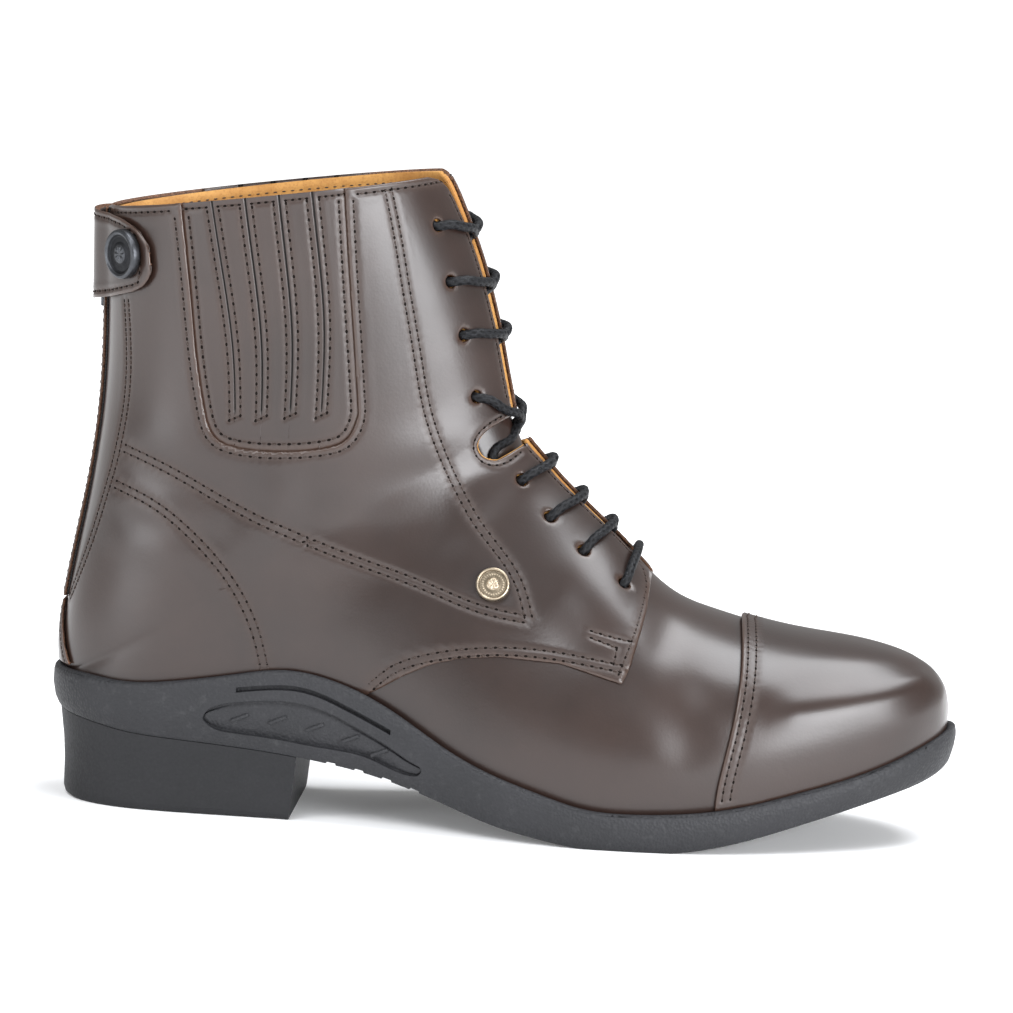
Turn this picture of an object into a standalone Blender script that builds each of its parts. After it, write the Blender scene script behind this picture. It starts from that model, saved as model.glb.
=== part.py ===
"""Lace-up ankle boot for the right foot: +X to the toe, +Y to the medial side, +Z up, in metres.

Every leather piece is read from one last: a fan of sections that starts at the toe, turns over
the instep and ends level at the collar. Sizes and tables are in millimetres.
"""

import math

import bmesh
import bpy
import numpy as np
from mathutils import Matrix, Vector

MM = 0.001
GAP = 0.3  # between pieces that touch
SEAT_GAP = 0.6  # round the upper in the sole's seat
WALL = 2.0  # leather and lining together
QUARTER_STEP = 1.0  # quarters lie this much over the vamp
SOLE_MARGIN = 4.6  # sole past the bottom edge of the upper
SOLE_LIP = 2.6  # rim of the sole above the bottom edge of the upper
HEEL_BREAST_X = -62.0
HEEL_BREAST_LEAN = 2.0
INSOLE_THICK = 3.0
INSOLE_CLEAR = 1.0  # insole to the inside of the upper
TONGUE_HALF = 24.0
TONGUE_THICK = 1.8
TONGUE_DROP = 1.7  # below the inside of the facings
TONGUE_LEAN = 9.0  # further in at its top
TREAD_PITCH = 9.0
TREAD_GROOVE = 3.0
TREAD_DEPTH = 1.6
TREAD_START = 11.2  # ahead of the heel's breast
TREAD_END_X = 126.0
TREAD_EDGE = 2.0  # ends of the grooves inside the upper's bottom edge
SHANK_END_X = -22.0
RECESS_DEPTH = 1.2  # of the slot and the leaf in the side of the sole
CAP_SEAT = 0.6  # toe cap above the vamp
CAP_THICK = 1.0
CAP_CLEAR = 0.8  # toe cap above the rim of the sole
EYELET_HOLE = 4.0
GUSSET_SEAT = 1.5  # depth of the gussets' recess in the quarters
GUSSET_THICK = 1.0
SLIT = 1.2
OVERLAY = 1.2  # thickness of zip strip and heel tab
ZIP_HALF = 5.0
STRAP_THICK = 1.6
STUD = 15.5
STUD_HEIGHT = 3.2
RIVET = 10.6
RIVET_HEIGHT = 2.2
LACE = 3.0
LACE_DROP = 0.22  # sections by which a cord sinks on its way across

# Bottom edge of the upper from above, heel to toe
OUTLINE_COLUMNS = ("x", "lateral", "medial")
OUTLINE = (
    (-139.0, 0.0, 0.0),
    (-136.0, 13.0, 12.8),
    (-128.0, 22.6, 22.2),
    (-112.0, 29.0, 28.2),
    (-85.0, 31.0, 29.2),
    (-50.0, 33.2, 29.0),
    (-15.0, 40.2, 34.6),
    (15.0, 46.2, 43.2),
    (42.0, 47.8, 47.8),
    (70.0, 44.6, 46.6),
    (95.0, 37.6, 40.8),
    (115.0, 28.6, 32.0),
    (129.0, 18.8, 21.8),
    (136.6, 9.4, 11.2),
    (139.0, 0.0, 0.0),
)

# Sole from the side; an underside below zero is cut flat at the floor
SOLE_COLUMNS = ("x", "rim", "under")
SOLE = (
    (-144.0, 41.5, 28.8),
    (-130.0, 41.8, 27.2),
    (-118.0, 41.0, 25.3),
    (-102.0, 42.3, 24.0),
    (-82.0, 45.8, 22.7),
    (-66.0, 48.0, 21.2),
    (-54.0, 46.4, 19.6),
    (-41.0, 42.1, 17.5),
    (-29.0, 36.0, 14.6),
    (-14.5, 27.4, 10.0),
    (0.0, 20.9, 5.2),
    (15.0, 16.2, 2.0),
    (28.0, 12.8, 0.0),
    (46.0, 11.9, -0.7),
    (65.0, 13.2, 1.2),
    (80.0, 15.8, 4.6),
    (95.0, 19.8, 9.2),
    (110.0, 24.0, 13.9),
    (125.0, 29.5, 18.6),
    (138.0, 35.6, 23.4),
    (144.0, 38.4, 26.8),
)

# Sections of the last from toe to collar. Each runs from its front point on the ridge to its back
# point, which is on the bottom edge up to the heel and then climbs the back of the boot.
FOOT = None
LAST_COLUMNS = ("front_x", "front_z", "back_x", "back_z", "lateral", "medial",
                "widest", "front_power", "back_power")
LAST = (
    (139.2, 42.0, 139.0, FOOT, 0.0, 0.0, 0.62, 2.30, 2.40),
    (138.2, 47.4, 137.2, FOOT, 9.6, 11.2, 0.64, 2.30, 2.40),
    (135.4, 52.0, 131.5, FOOT, 17.6, 20.2, 0.66, 2.40, 2.40),
    (128.4, 56.6, 121.5, FOOT, 25.8, 29.0, 0.68, 2.45, 2.40),
    (111.6, 60.8, 105.0, FOOT, 35.0, 38.4, 0.71, 2.45, 2.40),
    (89.6, 63.6, 84.5, FOOT, 42.4, 45.0, 0.75, 2.35, 2.40),
    (68.0, 68.4, 63.0, FOOT, 46.8, 48.2, 0.78, 2.20, 2.40),
    (51.0, 75.0, 41.0, FOOT, 49.0, 48.8, 0.80, 2.05, 2.40),
    (37.4, 87.9, 17.0, FOOT, 47.8, 45.2, 0.79, 1.95, 2.40),
    (28.6, 96.7, -10.0, FOOT, 42.8, 38.0, 0.76, 1.90, 2.40),
    (21.4, 103.5, -40.0, FOOT, 37.6, 33.4, 0.71, 1.95, 2.40),
    (15.0, 109.7, -70.0, FOOT, 35.0, 32.2, 0.66, 2.00, 2.40),
    (9.6, 115.3, -98.0, FOOT, 34.4, 32.8, 0.62, 2.10, 2.40),
    (5.4, 119.7, -120.0, FOOT, 34.4, 33.2, 0.59, 2.15, 2.35),
    (2.4, 123.7, -134.0, FOOT, 34.4, 33.5, 0.56, 2.20, 2.30),
    (0.1, 128.6, -139.0, FOOT, 34.5, 33.8, 0.54, 2.20, 2.30),
    (-1.6, 135.0, -140.0, 50.0, 34.7, 34.2, 0.52, 2.20, 2.25),
    (-3.8, 144.0, -138.6, 64.0, 35.0, 34.7, 0.51, 2.20, 2.20),
    (-6.2, 154.0, -135.6, 82.0, 35.6, 35.4, 0.50, 2.20, 2.20),
    (-9.2, 164.5, -132.0, 103.0, 36.6, 36.4, 0.50, 2.20, 2.20),
    (-12.6, 175.0, -129.6, 126.0, 37.8, 37.8, 0.50, 2.20, 2.15),
    (-16.6, 185.0, -129.2, 148.0, 39.2, 39.2, 0.50, 2.20, 2.10),
    (-20.6, 194.3, -129.6, 168.5, 40.5, 40.5, 0.50, 2.20, 2.10),
    (-24.5, 203.5, -130.0, 188.0, 41.6, 41.6, 0.50, 2.20, 2.10),
)
COLLAR = len(LAST) - 1
HEEL = sum(row[3] is FOOT for row in LAST) - 1  # section that ends at the back of the heel
THROAT = 7.5  # section where the lacing opens

# Half opening of the throat, measured along the leather
OPENING_COLUMNS = ("section", "lateral", "medial")
OPENING = (
    (7.5, 4.5, 4.5),
    (8.0, 6.0, 6.0),
    (10.0, 7.0, 6.5),
    (14.0, 8.0, 6.5),
    (18.0, 9.0, 7.0),
    (21.4, 10.5, 8.0),
    (22.2, 12.2, 9.7),
    (22.6, 14.4, 11.9),
    (22.85, 17.6, 15.1),
    (23.0, 23.0, 20.0),
)

# Front and lower edge of the quarters from the side, from the throat to the sole: x, z
QUARTER_EDGE = (
    (46.0, 90.0),
    (44.8, 72.5),
    (43.6, 67.0),
    (41.0, 57.0),
    (38.6, 51.5),
    (19.1, 56.9),
    (0.0, 57.6),
    (-11.8, 56.2),
    (-21.0, 53.8),
    (-30.0, 49.2),
    (-48.0, 38.0),
)
QUARTER_CORNER = 4  # row of the lower front corner

# Edge of the toe cap from the side
CAP_EDGE_COLUMNS = ("z", "x")
CAP_EDGE = ((17.0, 69.0), (28.3, 71.2), (38.0, 73.2), (50.7, 74.7), (63.4, 74.6), (72.0, 72.6))

# Eyelets on the lateral facing from the side, from the top down: x, z
EYELETS = ((-26.8, 187.9), (-21.9, 170.7), (-17.1, 154.2), (-12.4, 135.0),
           (2.9, 109.2), (12.5, 98.4), (23.6, 88.6), (36.6, 79.2))

# Notch in both facings at the bend of the ankle, from the side: x, z
NOTCH = ((12.0, 135.0), (-4.2, 127.0), (-8.8, 123.9), (-10.8, 120.0), (-8.7, 116.4), (-4.6, 115.4),
         (14.0, 126.0))

# Gusset from the side, from its back top corner round to its front top corner: x, z
GUSSET = ((-108.7, 215.0), (-101.1, 165.1), (-97.1, 137.2), (-94.5, 125.2), (-91.4, 119.6),
          (-83.4, 116.8), (-70.0, 116.6), (-57.9, 118.1), (-50.9, 121.0), (-47.3, 129.1),
          (-48.0, 136.9), (-50.8, 164.7), (-55.6, 215.0))
# Slits in the gusset: x and z of the upper end, x and z of the lower end
SLITS = ((-94.6, 190.0, -85.4, 127.0), (-84.2, 191.2, -77.2, 127.4),
         (-73.9, 192.6, -68.3, 128.6), (-63.9, 194.0, -58.7, 129.1))

# Back strap from behind, with a tip on the lateral side and sewn down on the other: y, low z, high z
STRAP = ((-28.0, 171.5, 177.0), (-26.8, 168.0, 180.5), (-25.0, 165.0, 183.8), (-22.0, 162.8, 186.2),
         (-17.0, 160.8, 187.0), (-12.0, 159.5, 187.0), (-6.0, 158.4, 187.0), (0.0, 158.0, 187.0),
         (6.0, 158.4, 187.0), (12.0, 159.5, 187.0), (17.0, 160.8, 187.0), (22.0, 162.4, 187.0),
         (27.0, 164.6, 187.0))
STRAP_LIFT = (8.0, 16.0)  # the strap rises over the zip between these distances from the middle

ZIP_ENDS = (62.8, 187.0)  # heights

# Guard at the foot of the zip, from behind: z, half width
HEEL_TAB = ((42.8, 14.5), (46.5, 13.0), (52.0, 10.5), (57.0, 7.5), (61.6, 4.0))

STUD_PLACE = (-124.6, 174.0)  # x and z, on the strap
RIVET_PLACE = (-3.3, 78.0)

# Recesses in both sides of the sole: x, low z, high z
LEAF = ((-91.5, 31.2, 31.6), (-84.5, 27.5, 35.9), (-73.7, 25.9, 38.1), (-61.2, 24.4, 38.5),
        (-48.6, 22.6, 36.1), (-35.8, 20.6, 29.9), (-26.2, 18.3, 24.2), (-20.7, 19.2, 19.6))
SLOT = ((-81.4, 41.2, 42.6), (-67.7, 42.6, 44.0), (-52.0, 40.4, 41.8), (-39.3, 35.8, 37.2),
        (-31.0, 30.6, 32.0))


def column(table, names, name):
    """One named column of a table."""
    return np.array([row[names.index(name)] for row in table], float)


def curve_through(knots, values):
    """A smooth curve through the given values: a natural cubic spline."""
    knots = np.asarray(knots, float)
    values = np.asarray(values, float)
    step = np.diff(knots)
    rise = np.diff(values) / step
    system = np.eye(len(knots))
    bend = np.zeros(len(knots))
    for i in range(1, len(knots) - 1):
        system[i, i - 1:i + 2] = step[i - 1], 2 * (step[i - 1] + step[i]), step[i]
        bend[i] = 6 * (rise[i] - rise[i - 1])
    bend = np.linalg.solve(system, bend)

    def at(where):
        where = np.asarray(where, float)
        i = np.clip(np.searchsorted(knots, where) - 1, 0, len(knots) - 2)
        u = where - knots[i]
        h = step[i]
        slope = rise[i] - h * (2 * bend[i] + bend[i + 1]) / 6
        return values[i] + u * (slope + u * (bend[i] / 2 + u * (bend[i + 1] - bend[i]) / (6 * h)))

    return at


rim_height = curve_through(column(SOLE, SOLE_COLUMNS, "x"), column(SOLE, SOLE_COLUMNS, "rim"))
under_curve = curve_through(column(SOLE, SOLE_COLUMNS, "x"), column(SOLE, SOLE_COLUMNS, "under"))


def under_height(x):
    return np.maximum(0.0, under_curve(x))


def edge_height(x):
    """Height of the upper's bottom edge."""
    return rim_height(x) - SOLE_LIP


def half_width_reader(side):
    """Half width of the bottom edge at any x, read off a closed curve through the outline."""
    x = column(OUTLINE, OUTLINE_COLUMNS, "x")
    near = column(OUTLINE, OUTLINE_COLUMNS, side)
    far = column(OUTLINE, OUTLINE_COLUMNS, "medial" if side == "lateral" else "lateral")
    wrap = 3
    loop_x = np.concatenate([x[wrap:0:-1], x, x[-2:-wrap - 2:-1]])
    loop_y = np.concatenate([-far[wrap:0:-1], near, -far[-2:-wrap - 2:-1]])
    index = np.arange(len(loop_x)) - wrap
    dense = np.linspace(0, len(x) - 1, 1200)
    dense_x = curve_through(index, loop_x)(dense)
    dense_y = curve_through(index, loop_y)(dense)
    return lambda where: np.interp(where, dense_x, dense_y, left=0.0, right=0.0)


half_width = {side: half_width_reader(side) for side in ("lateral", "medial")}
TOWARDS = {"lateral": -1.0, "medial": 1.0}


class Last:
    """The form the upper is pulled over: points, outward directions and lengths of its sections."""

    PER_ROW = 24
    ALONG = 97

    def __init__(self):
        rows = np.arange(len(LAST))
        self.sections = np.linspace(0, COLLAR, COLLAR * self.PER_ROW + 1)
        self.shares = np.linspace(0, 1, self.ALONG)
        foot = self.sections < HEEL
        table = {}
        for name in LAST_COLUMNS:
            if name not in ("back_x", "back_z"):
                table[name] = curve_through(rows, column(LAST, LAST_COLUMNS, name))(self.sections)
        edge_x = column(LAST, LAST_COLUMNS, "back_x")
        heel_z = float(edge_height(edge_x[HEEL]))
        climb_z = [heel_z] + [row[LAST_COLUMNS.index("back_z")] for row in LAST[HEEL + 1:]]
        under_foot = curve_through(rows[:HEEL + 1], edge_x[:HEEL + 1])(self.sections)
        up_the_back = curve_through(rows[HEEL:], edge_x[HEEL:])(self.sections)
        table["back_x"] = np.where(foot, under_foot, up_the_back)
        table["back_z"] = np.where(foot, edge_height(under_foot),
                                   curve_through(rows[HEEL:], climb_z)(self.sections))
        self.back_x = table["back_x"]
        self.points, self.outward, self.length = {}, {}, {}
        for side in TOWARDS:
            self.points[side], self.length[side] = self.section_points(table, side, foot)
            self.outward[side] = self.outward_directions(side)
        self.share_seams()

    def section_points(self, table, side, foot):
        """Each section as a blunt oval that is cut off at the bottom edge."""
        wide = np.maximum(table[side], 0.0)
        edge = np.where(foot, half_width[side](table["back_x"]), 0.0)
        cut = np.where(wide > 0.01, edge / np.maximum(wide, 0.01), 0.9)
        cut = np.clip(cut, 0.0, 0.985)[:, None]
        widest = table["widest"][:, None]
        front = 2 / table["front_power"][:, None]
        back = 2 / table["back_power"][:, None]
        turn = np.linspace(0, math.pi / 2, 48)[None, :]
        down = widest * (1 - np.cos(turn) ** front)
        out = np.sin(turn) ** front
        last_turn = np.arccos(cut ** (1 / back))
        turn = last_turn * np.linspace(0, 1, 48)[None, 1:]
        reach = (1 - widest) / np.sin(last_turn) ** back
        down = np.concatenate([down, widest + reach * np.sin(turn) ** back], axis=1)
        out = np.concatenate([out, np.maximum(np.cos(turn), 0.0) ** back], axis=1)
        x = table["front_x"][:, None] + (table["back_x"] - table["front_x"])[:, None] * down
        z = table["front_z"][:, None] + (table["back_z"] - table["front_z"])[:, None] * down
        path = np.stack([x, TOWARDS[side] * wide[:, None] * out, z], axis=2)
        walked = np.linalg.norm(np.diff(path, axis=1), axis=2).cumsum(axis=1)
        walked = np.concatenate([np.zeros((len(path), 1)), walked], axis=1)
        length = walked[:, -1]
        points = np.empty((len(path), self.ALONG, 3))
        for i in range(len(path)):
            for axis in range(3):
                points[i, :, axis] = np.interp(self.shares * length[i], walked[i], path[i, :, axis])
        return points, length

    def outward_directions(self, side):
        """Normals: each point is compared with the nearest points of the sections beside it."""
        points, length = self.points[side], self.length[side]
        tangent = np.gradient(points, axis=1)
        tangent /= np.maximum(np.linalg.norm(tangent, axis=2, keepdims=True), 1e-9)
        heel = HEEL * self.PER_ROW
        normals = np.empty_like(points)
        for i, row in enumerate(points):
            first, final = (0, heel) if i < heel else (heel, len(points) - 1)
            beside = []
            for k in (max(i - 1, first), min(i + 1, final)):
                walked = self.shares * length[k]
                shift = ((points[k] - row) * tangent[i]).sum(axis=1)
                beside.append(np.stack([np.interp(walked - shift, walked, points[k][:, axis])
                                        for axis in range(3)], axis=1))
            normals[i] = np.cross(beside[1] - beside[0], tangent[i]) * -TOWARDS[side]
        return normals / np.maximum(np.linalg.norm(normals, axis=2, keepdims=True), 1e-9)

    def share_seams(self):
        """Both sides lean the same way where they meet: on the ridge, at the toe and up the back."""
        lateral, medial = self.outward["lateral"], self.outward["medial"]
        back = self.sections >= HEEL
        for part in (np.s_[1:, 0], np.s_[0, 1:], np.s_[back, -1]):
            shared = lateral[part] + medial[part]
            shared[..., 1] = 0.0
            shared /= np.linalg.norm(shared, axis=-1, keepdims=True)
            lateral[part] = shared
            medial[part] = shared
        for grid in (lateral, medial):
            grid[:HEEL * self.PER_ROW + 1, -1, 2] = 0.0
            tip = grid[1, 0] + grid[0, 1]
            grid[0, 0] = tip / np.linalg.norm(tip)

    def at(self, side, section, share, level=0.0):
        """A point at this section and this share of the way from ridge to bottom, raised by level."""
        i = min(max(section, 0.0), COLLAR) * self.PER_ROW
        j = min(max(share, 0.0), 1.0) * (self.ALONG - 1)
        i0 = min(int(i), len(self.sections) - 2)
        j0 = min(int(j), self.ALONG - 2)
        u, v = i - i0, j - j0
        blended = []
        for grid in (self.points[side], self.outward[side]):
            near = grid[i0, j0] * (1 - v) + grid[i0, j0 + 1] * v
            far = grid[i0 + 1, j0] * (1 - v) + grid[i0 + 1, j0 + 1] * v
            blended.append(near * (1 - u) + far * u)
        point, normal = blended
        return point + normal / np.linalg.norm(normal) * level

    def opening(self, side, section):
        """Share of the section that the throat takes."""
        if section < THROAT:
            return 0.0
        half = np.interp(section, column(OPENING, OPENING_COLUMNS, "section"),
                         column(OPENING, OPENING_COLUMNS, side))
        return half / np.interp(section, self.sections, self.length[side])

    def leather(self, side, section, across, level=0.0):
        """A point of the upper; across runs from the throat's edge, or the ridge, to the bottom."""
        opening = self.opening(side, section)
        return self.at(side, section, opening + (1 - opening) * across, level)

    def find(self, side, goal, axes="xz"):
        """Section and share of the surface point that lies at the goal, seen along the third axis."""
        picked = ["xyz".index(axis) for axis in axes]
        goal = np.asarray(goal, float)
        distance = np.linalg.norm(self.points[side][:, :, picked] - goal, axis=2)
        if "x" not in axes:
            distance[self.points[side][:, :, 0] > HEEL_BREAST_X] = np.inf  # seen from behind
        i, j = np.unravel_index(np.argmin(distance), distance.shape)
        found = np.array([self.sections[i], self.shares[j]])
        for _ in range(6):
            here = self.at(side, *found)[picked]
            beside = [self.at(side, found[0] - 0.02, found[1])[picked],
                      self.at(side, found[0], found[1] - 0.01)[picked]]
            slope = np.column_stack([(here - beside[0]) / 0.02, (here - beside[1]) / 0.01])
            found += np.linalg.lstsq(slope, goal - here, rcond=None)[0]
            found = np.clip(found, 0.0, (COLLAR, 1.0))
        return found

    def outside(self, side, section, share):
        """Outward direction at a point of the surface."""
        return self.at(side, section, share, 1.0) - self.at(side, section, share)

    def section_at_edge(self, x):
        """The section whose bottom point has this x."""
        heel = HEEL * self.PER_ROW + 1
        return float(np.interp(-x, -self.back_x[:heel], self.sections[:heel]))


last = Last()


def inside(x, z, polygon):
    """True where the point is inside the polygon."""
    found = False
    for (x0, z0), (x1, z1) in zip(polygon, polygon[1:] + polygon[:1]):
        if (z0 > z) != (z1 > z) and x < x0 + (z - z0) / (z1 - z0) * (x1 - x0):
            found = not found
    return found


FAR_ASIDE = 80.0  # past either side of the boot
FAR_BEHIND = ((-200.0, 38.0), (-200.0, 260.0), (46.0, 260.0))
QUARTER_AREA = QUARTER_EDGE + FAR_BEHIND


def quarter_start(side, across):
    """The section where the quarters begin, at this share of the way down."""
    for section in np.arange(THROAT - 0.6, HEEL, 0.01):
        point = last.leather(side, section, across)
        if inside(point[0], point[2], QUARTER_AREA):
            return section
    return HEEL


def corner_share():
    """How far down the lower front corner of the quarters lies."""
    target = np.array(QUARTER_EDGE[QUARTER_CORNER])
    shares = np.linspace(0.2, 0.9, 71)
    best = [min(np.linalg.norm(last.leather("lateral", s, a)[[0, 2]] - target)
                for s in np.arange(6.5, 8.5, 0.05)) for a in shares]
    return float(shares[int(np.argmin(best))])


CORNER = corner_share()
ACROSS = np.concatenate([np.linspace(0, CORNER, 7),
                         1 - (1 - CORNER) * (1 - np.linspace(0, 1, 8)[1:]) ** 1.7])
VAMP_ROWS = np.array([0, 0.25, 0.6, 1, 1.5, 2, 2.6, 3.3, 4, 4.7, 5.3, 5.8, 6.3, 6.9, 7.5]) / 7.5
CAP_ACROSS = np.linspace(0, 1, 12)
CAP_ROWS = np.array([0, 0.25, 0.6, 1, 1.5, 2, 2.6, 3.2, 3.9, 4.6, 5.3]) / 5.3
FOOT_ROWS = 1 - (1 - np.linspace(0, 1, 12)) ** 1.6
SHAFT_ROWS = 1 - (1 - np.linspace(0, 1, 11)[1:]) ** 1.3
START = {side: [max(THROAT, quarter_start(side, 0.0))] + [quarter_start(side, a) for a in ACROSS[1:]]
         for side in TOWARDS}
STEP_AHEAD = 0.08  # sections by which a raised form takes its step sooner, for each millimetre
ARCH = START["lateral"][-1]  # section where the quarters reach the sole


def upper_rows(level):
    """Rows of points over both sides, from the toe to the collar, with the step at the quarters."""
    heel = (HEEL - ARCH) / (COLLAR - ARCH)
    quarter = np.concatenate([heel * FOOT_ROWS, heel + (1 - heel) * SHAFT_ROWS])
    raised = level + QUARTER_STEP if level >= 0 else level  # the inner skin has no step
    early = STEP_AHEAD * max(level, 0.0)
    rows = []
    for share in VAMP_ROWS:
        rows.append({side: [last.at(side, (s - early) * share, a, level)
                            for s, a in zip(START[side], ACROSS)] for side in TOWARDS})
    for share in quarter:
        rows.append({side: [last.leather(side, s + (COLLAR - s) * share - early * (share == 0), a, raised)
                            for s, a in zip(START[side], ACROSS)] for side in TOWARDS})
    return rows, len(VAMP_ROWS) - 1, len(VAMP_ROWS) + len(FOOT_ROWS) - 1


# Building solids


def paint(name, colour, roughness, metallic=0.0):
    material = bpy.data.materials.new(name)
    material.use_nodes = True
    shader = material.node_tree.nodes["Principled BSDF"]
    shader.inputs["Base Color"].default_value = (*colour, 1.0)
    shader.inputs["Roughness"].default_value = roughness
    shader.inputs["Metallic"].default_value = metallic
    return material


def add_piece(name, bm, material=None, merge=1e-5):
    """Turns a bmesh in millimetres into an object in metres."""
    bmesh.ops.scale(bm, verts=bm.verts, vec=(MM, MM, MM))
    bmesh.ops.remove_doubles(bm, verts=bm.verts, dist=merge)
    bmesh.ops.triangulate(bm, faces=bm.faces)  # flat faces for the Booleans
    mesh = bpy.data.meshes.new(name)
    bm.to_mesh(mesh)
    bm.free()
    mesh.shade_smooth()
    mesh.set_sharp_from_angle(angle=math.radians(40))
    piece = bpy.data.objects.new(name, mesh)
    bpy.context.scene.collection.objects.link(piece)
    if material:
        mesh.materials.append(material)
    else:
        piece.hide_render = True
        piece.display_type = "WIRE"
    return piece


def cut(piece, cutter, operation="DIFFERENCE", folded=False):
    """A Boolean; a folded cutter may touch itself."""
    modifier = piece.modifiers.new(cutter.name, "BOOLEAN")
    modifier.operation = operation
    modifier.object = cutter
    modifier.solver = "EXACT"
    modifier.use_self = folded


def add_grid(bm, rows, flip):
    """Faces between rows of points; flip turns them over."""
    verts = [[bm.verts.new(p) for p in row] for row in rows]
    for upper, lower in zip(verts, verts[1:]):
        for j in range(len(upper) - 1):
            face = (upper[j], lower[j], lower[j + 1], upper[j + 1])
            bm.faces.new(face[::-1] if flip else face)
    return verts


def add_boot_sheet(bm, rows):
    return {side: add_grid(bm, [row[side] for row in rows], side == "medial") for side in TOWARDS}


def ladder(bm, left, right):
    """Faces between two runs of vertices."""
    for (a, b), (c, d) in zip(zip(left, left[1:]), zip(right, right[1:])):
        bm.faces.new((a, b, d, c))


def add_rim(bm, outer, inner):
    """Faces between two runs of vertices that may share some of them."""
    for corners in zip(outer, outer[1:], inner[1:], inner):
        bm.faces.new(list(dict.fromkeys(corners)))


def sheet_solid(name, outer_rows, inner_rows, material=None, folded_start=False):
    """A sheet between two grids of points; a folded start is closed by its own two halves."""
    bm = bmesh.new()
    outer = add_grid(bm, outer_rows, False)
    inner = add_grid(bm, inner_rows, True)
    if not folded_start:
        add_rim(bm, outer[0], inner[0])
    add_rim(bm, outer[-1], inner[-1])
    for end in (0, -1):
        add_rim(bm, [row[end] for row in outer], [row[end] for row in inner])
    bmesh.ops.remove_doubles(bm, verts=bm.verts, dist=0.01)
    bmesh.ops.recalc_face_normals(bm, faces=bm.faces)
    return add_piece(name, bm, material)


def prism(name, outline, low, high):
    """The outline, given as x and z, drawn out along Y."""
    bm = bmesh.new()
    rings = [[bm.verts.new((x, y, z)) for x, z in outline] for y in (low, high)]
    for ring in rings:
        bm.faces.new(ring)
    for i, (a, b) in enumerate(zip(*rings)):
        bm.faces.new((a, b, rings[1][i - 1], rings[0][i - 1]))
    bmesh.ops.recalc_face_normals(bm, faces=bm.faces)
    return add_piece(name, bm)


def closed_form(name, level):
    """The whole boot as one closed solid, raised by level: it cuts seats into its neighbours."""
    rows, step, heel = upper_rows(level)
    for row in rows[:heel + 1]:
        for side in TOWARDS:
            row[side][-1] = row[side][-1] - np.array((0.0, 0.0, level))
    bm = bmesh.new()
    verts = add_boot_sheet(bm, rows)
    lateral, medial = verts["lateral"], verts["medial"]
    ladder(bm, [r[0] for r in lateral[step:]], [r[0] for r in medial[step:]])
    ladder(bm, lateral[-1], medial[-1])
    ladder(bm, [r[-1] for r in lateral[:heel + 1]], [r[-1] for r in medial[:heel + 1]])
    bmesh.ops.remove_doubles(bm, verts=bm.verts, dist=0.01)
    bmesh.ops.dissolve_degenerate(bm, edges=bm.edges, dist=0.001)
    bmesh.ops.recalc_face_normals(bm, faces=bm.faces)
    return add_piece(name, bm)


def edge_loop(sections):
    """Bottom edge of the upper as a loop, toe, lateral side, heel, medial side, with directions."""
    lateral = [last.at("lateral", s, 1.0)[:2] for s in sections]
    medial = [last.at("medial", s, 1.0)[:2] for s in sections]
    loop = np.array(lateral + medial[-2:0:-1])
    along = np.roll(loop, -1, axis=0) - np.roll(loop, 1, axis=0)
    away = np.stack([along[:, 1], -along[:, 0]], axis=1)
    away /= np.linalg.norm(away, axis=1, keepdims=True)
    if away[0, 0] < 0:
        away = -away
    return loop, away


def ring_solid(name, rings, material=None, pointed_start=True):
    """A solid through closed rings from bottom to top, whose ends are closed across the foot."""
    bm = bmesh.new()
    verts = [[bm.verts.new(p) for p in ring] for ring in rings]
    count = len(rings[0])
    for low, high in zip(verts, verts[1:]):
        for i in range(count):
            j = (i + 1) % count
            bm.faces.new((low[i], low[j], high[j], high[i]))
    for ring in (verts[0], verts[-1]):
        left, right = 0, count - 1
        if pointed_start:
            bm.faces.new((ring[0], ring[1], ring[right]))
            left = 1
        while right - left > 2:
            bm.faces.new((ring[left], ring[left + 1], ring[right - 1], ring[right]))
            left, right = left + 1, right - 1
        bm.faces.new((ring[left], ring[left + 1], ring[right]))
    bmesh.ops.recalc_face_normals(bm, faces=bm.faces)
    return add_piece(name, bm, material)


SOLE_SECTIONS = np.concatenate([VAMP_ROWS * ARCH, ARCH + (HEEL - ARCH) * FOOT_ROWS[1:]])

# Side of the sole from underside to rim: inwards of its widest line, share of the height
SOLE_SIDE = ((2.6, 0.0), (0.9, 0.22), (0.0, 0.62), (0.5, 0.94), (1.9, 1.0))


def make_outsole(material, seat):
    loop, away = edge_loop(SOLE_SECTIONS)
    rings = []
    for inset, share in SOLE_SIDE:
        ring = loop + away * (SOLE_MARGIN - inset)
        low, high = under_height(ring[:, 0]), rim_height(ring[:, 0])
        rings.append(np.column_stack([ring, low + (high - low) * share]))
    outsole = ring_solid("outsole", rings, material)
    cut(outsole, seat, folded=True)
    cut(outsole, tread_cutter())
    for side in TOWARDS:
        cut(outsole, recess_cutter("leaf_cutter_" + side, LEAF, side))
        cut(outsole, recess_cutter("slot_cutter_" + side, SLOT, side))


def recess_cutter(name, table, side):
    """Cuts a shallow recess whose floor follows the side of the sole."""
    insets, heights = zip(*SOLE_SIDE)
    rings = []
    for x, low, high in table:
        ring = []
        for z in (low, high):
            share = (z - under_height(x)) / (rim_height(x) - under_height(x))
            floor = half_width[side](x) + SOLE_MARGIN - np.interp(share, heights, insets) - RECESS_DEPTH
            ring.append((x, TOWARDS[side] * floor, z))
        ring += [(x, TOWARDS[side] * FAR_ASIDE, z) for z in (high, low)]
        rings.append(ring)
    return ring_solid(name, rings)


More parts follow.
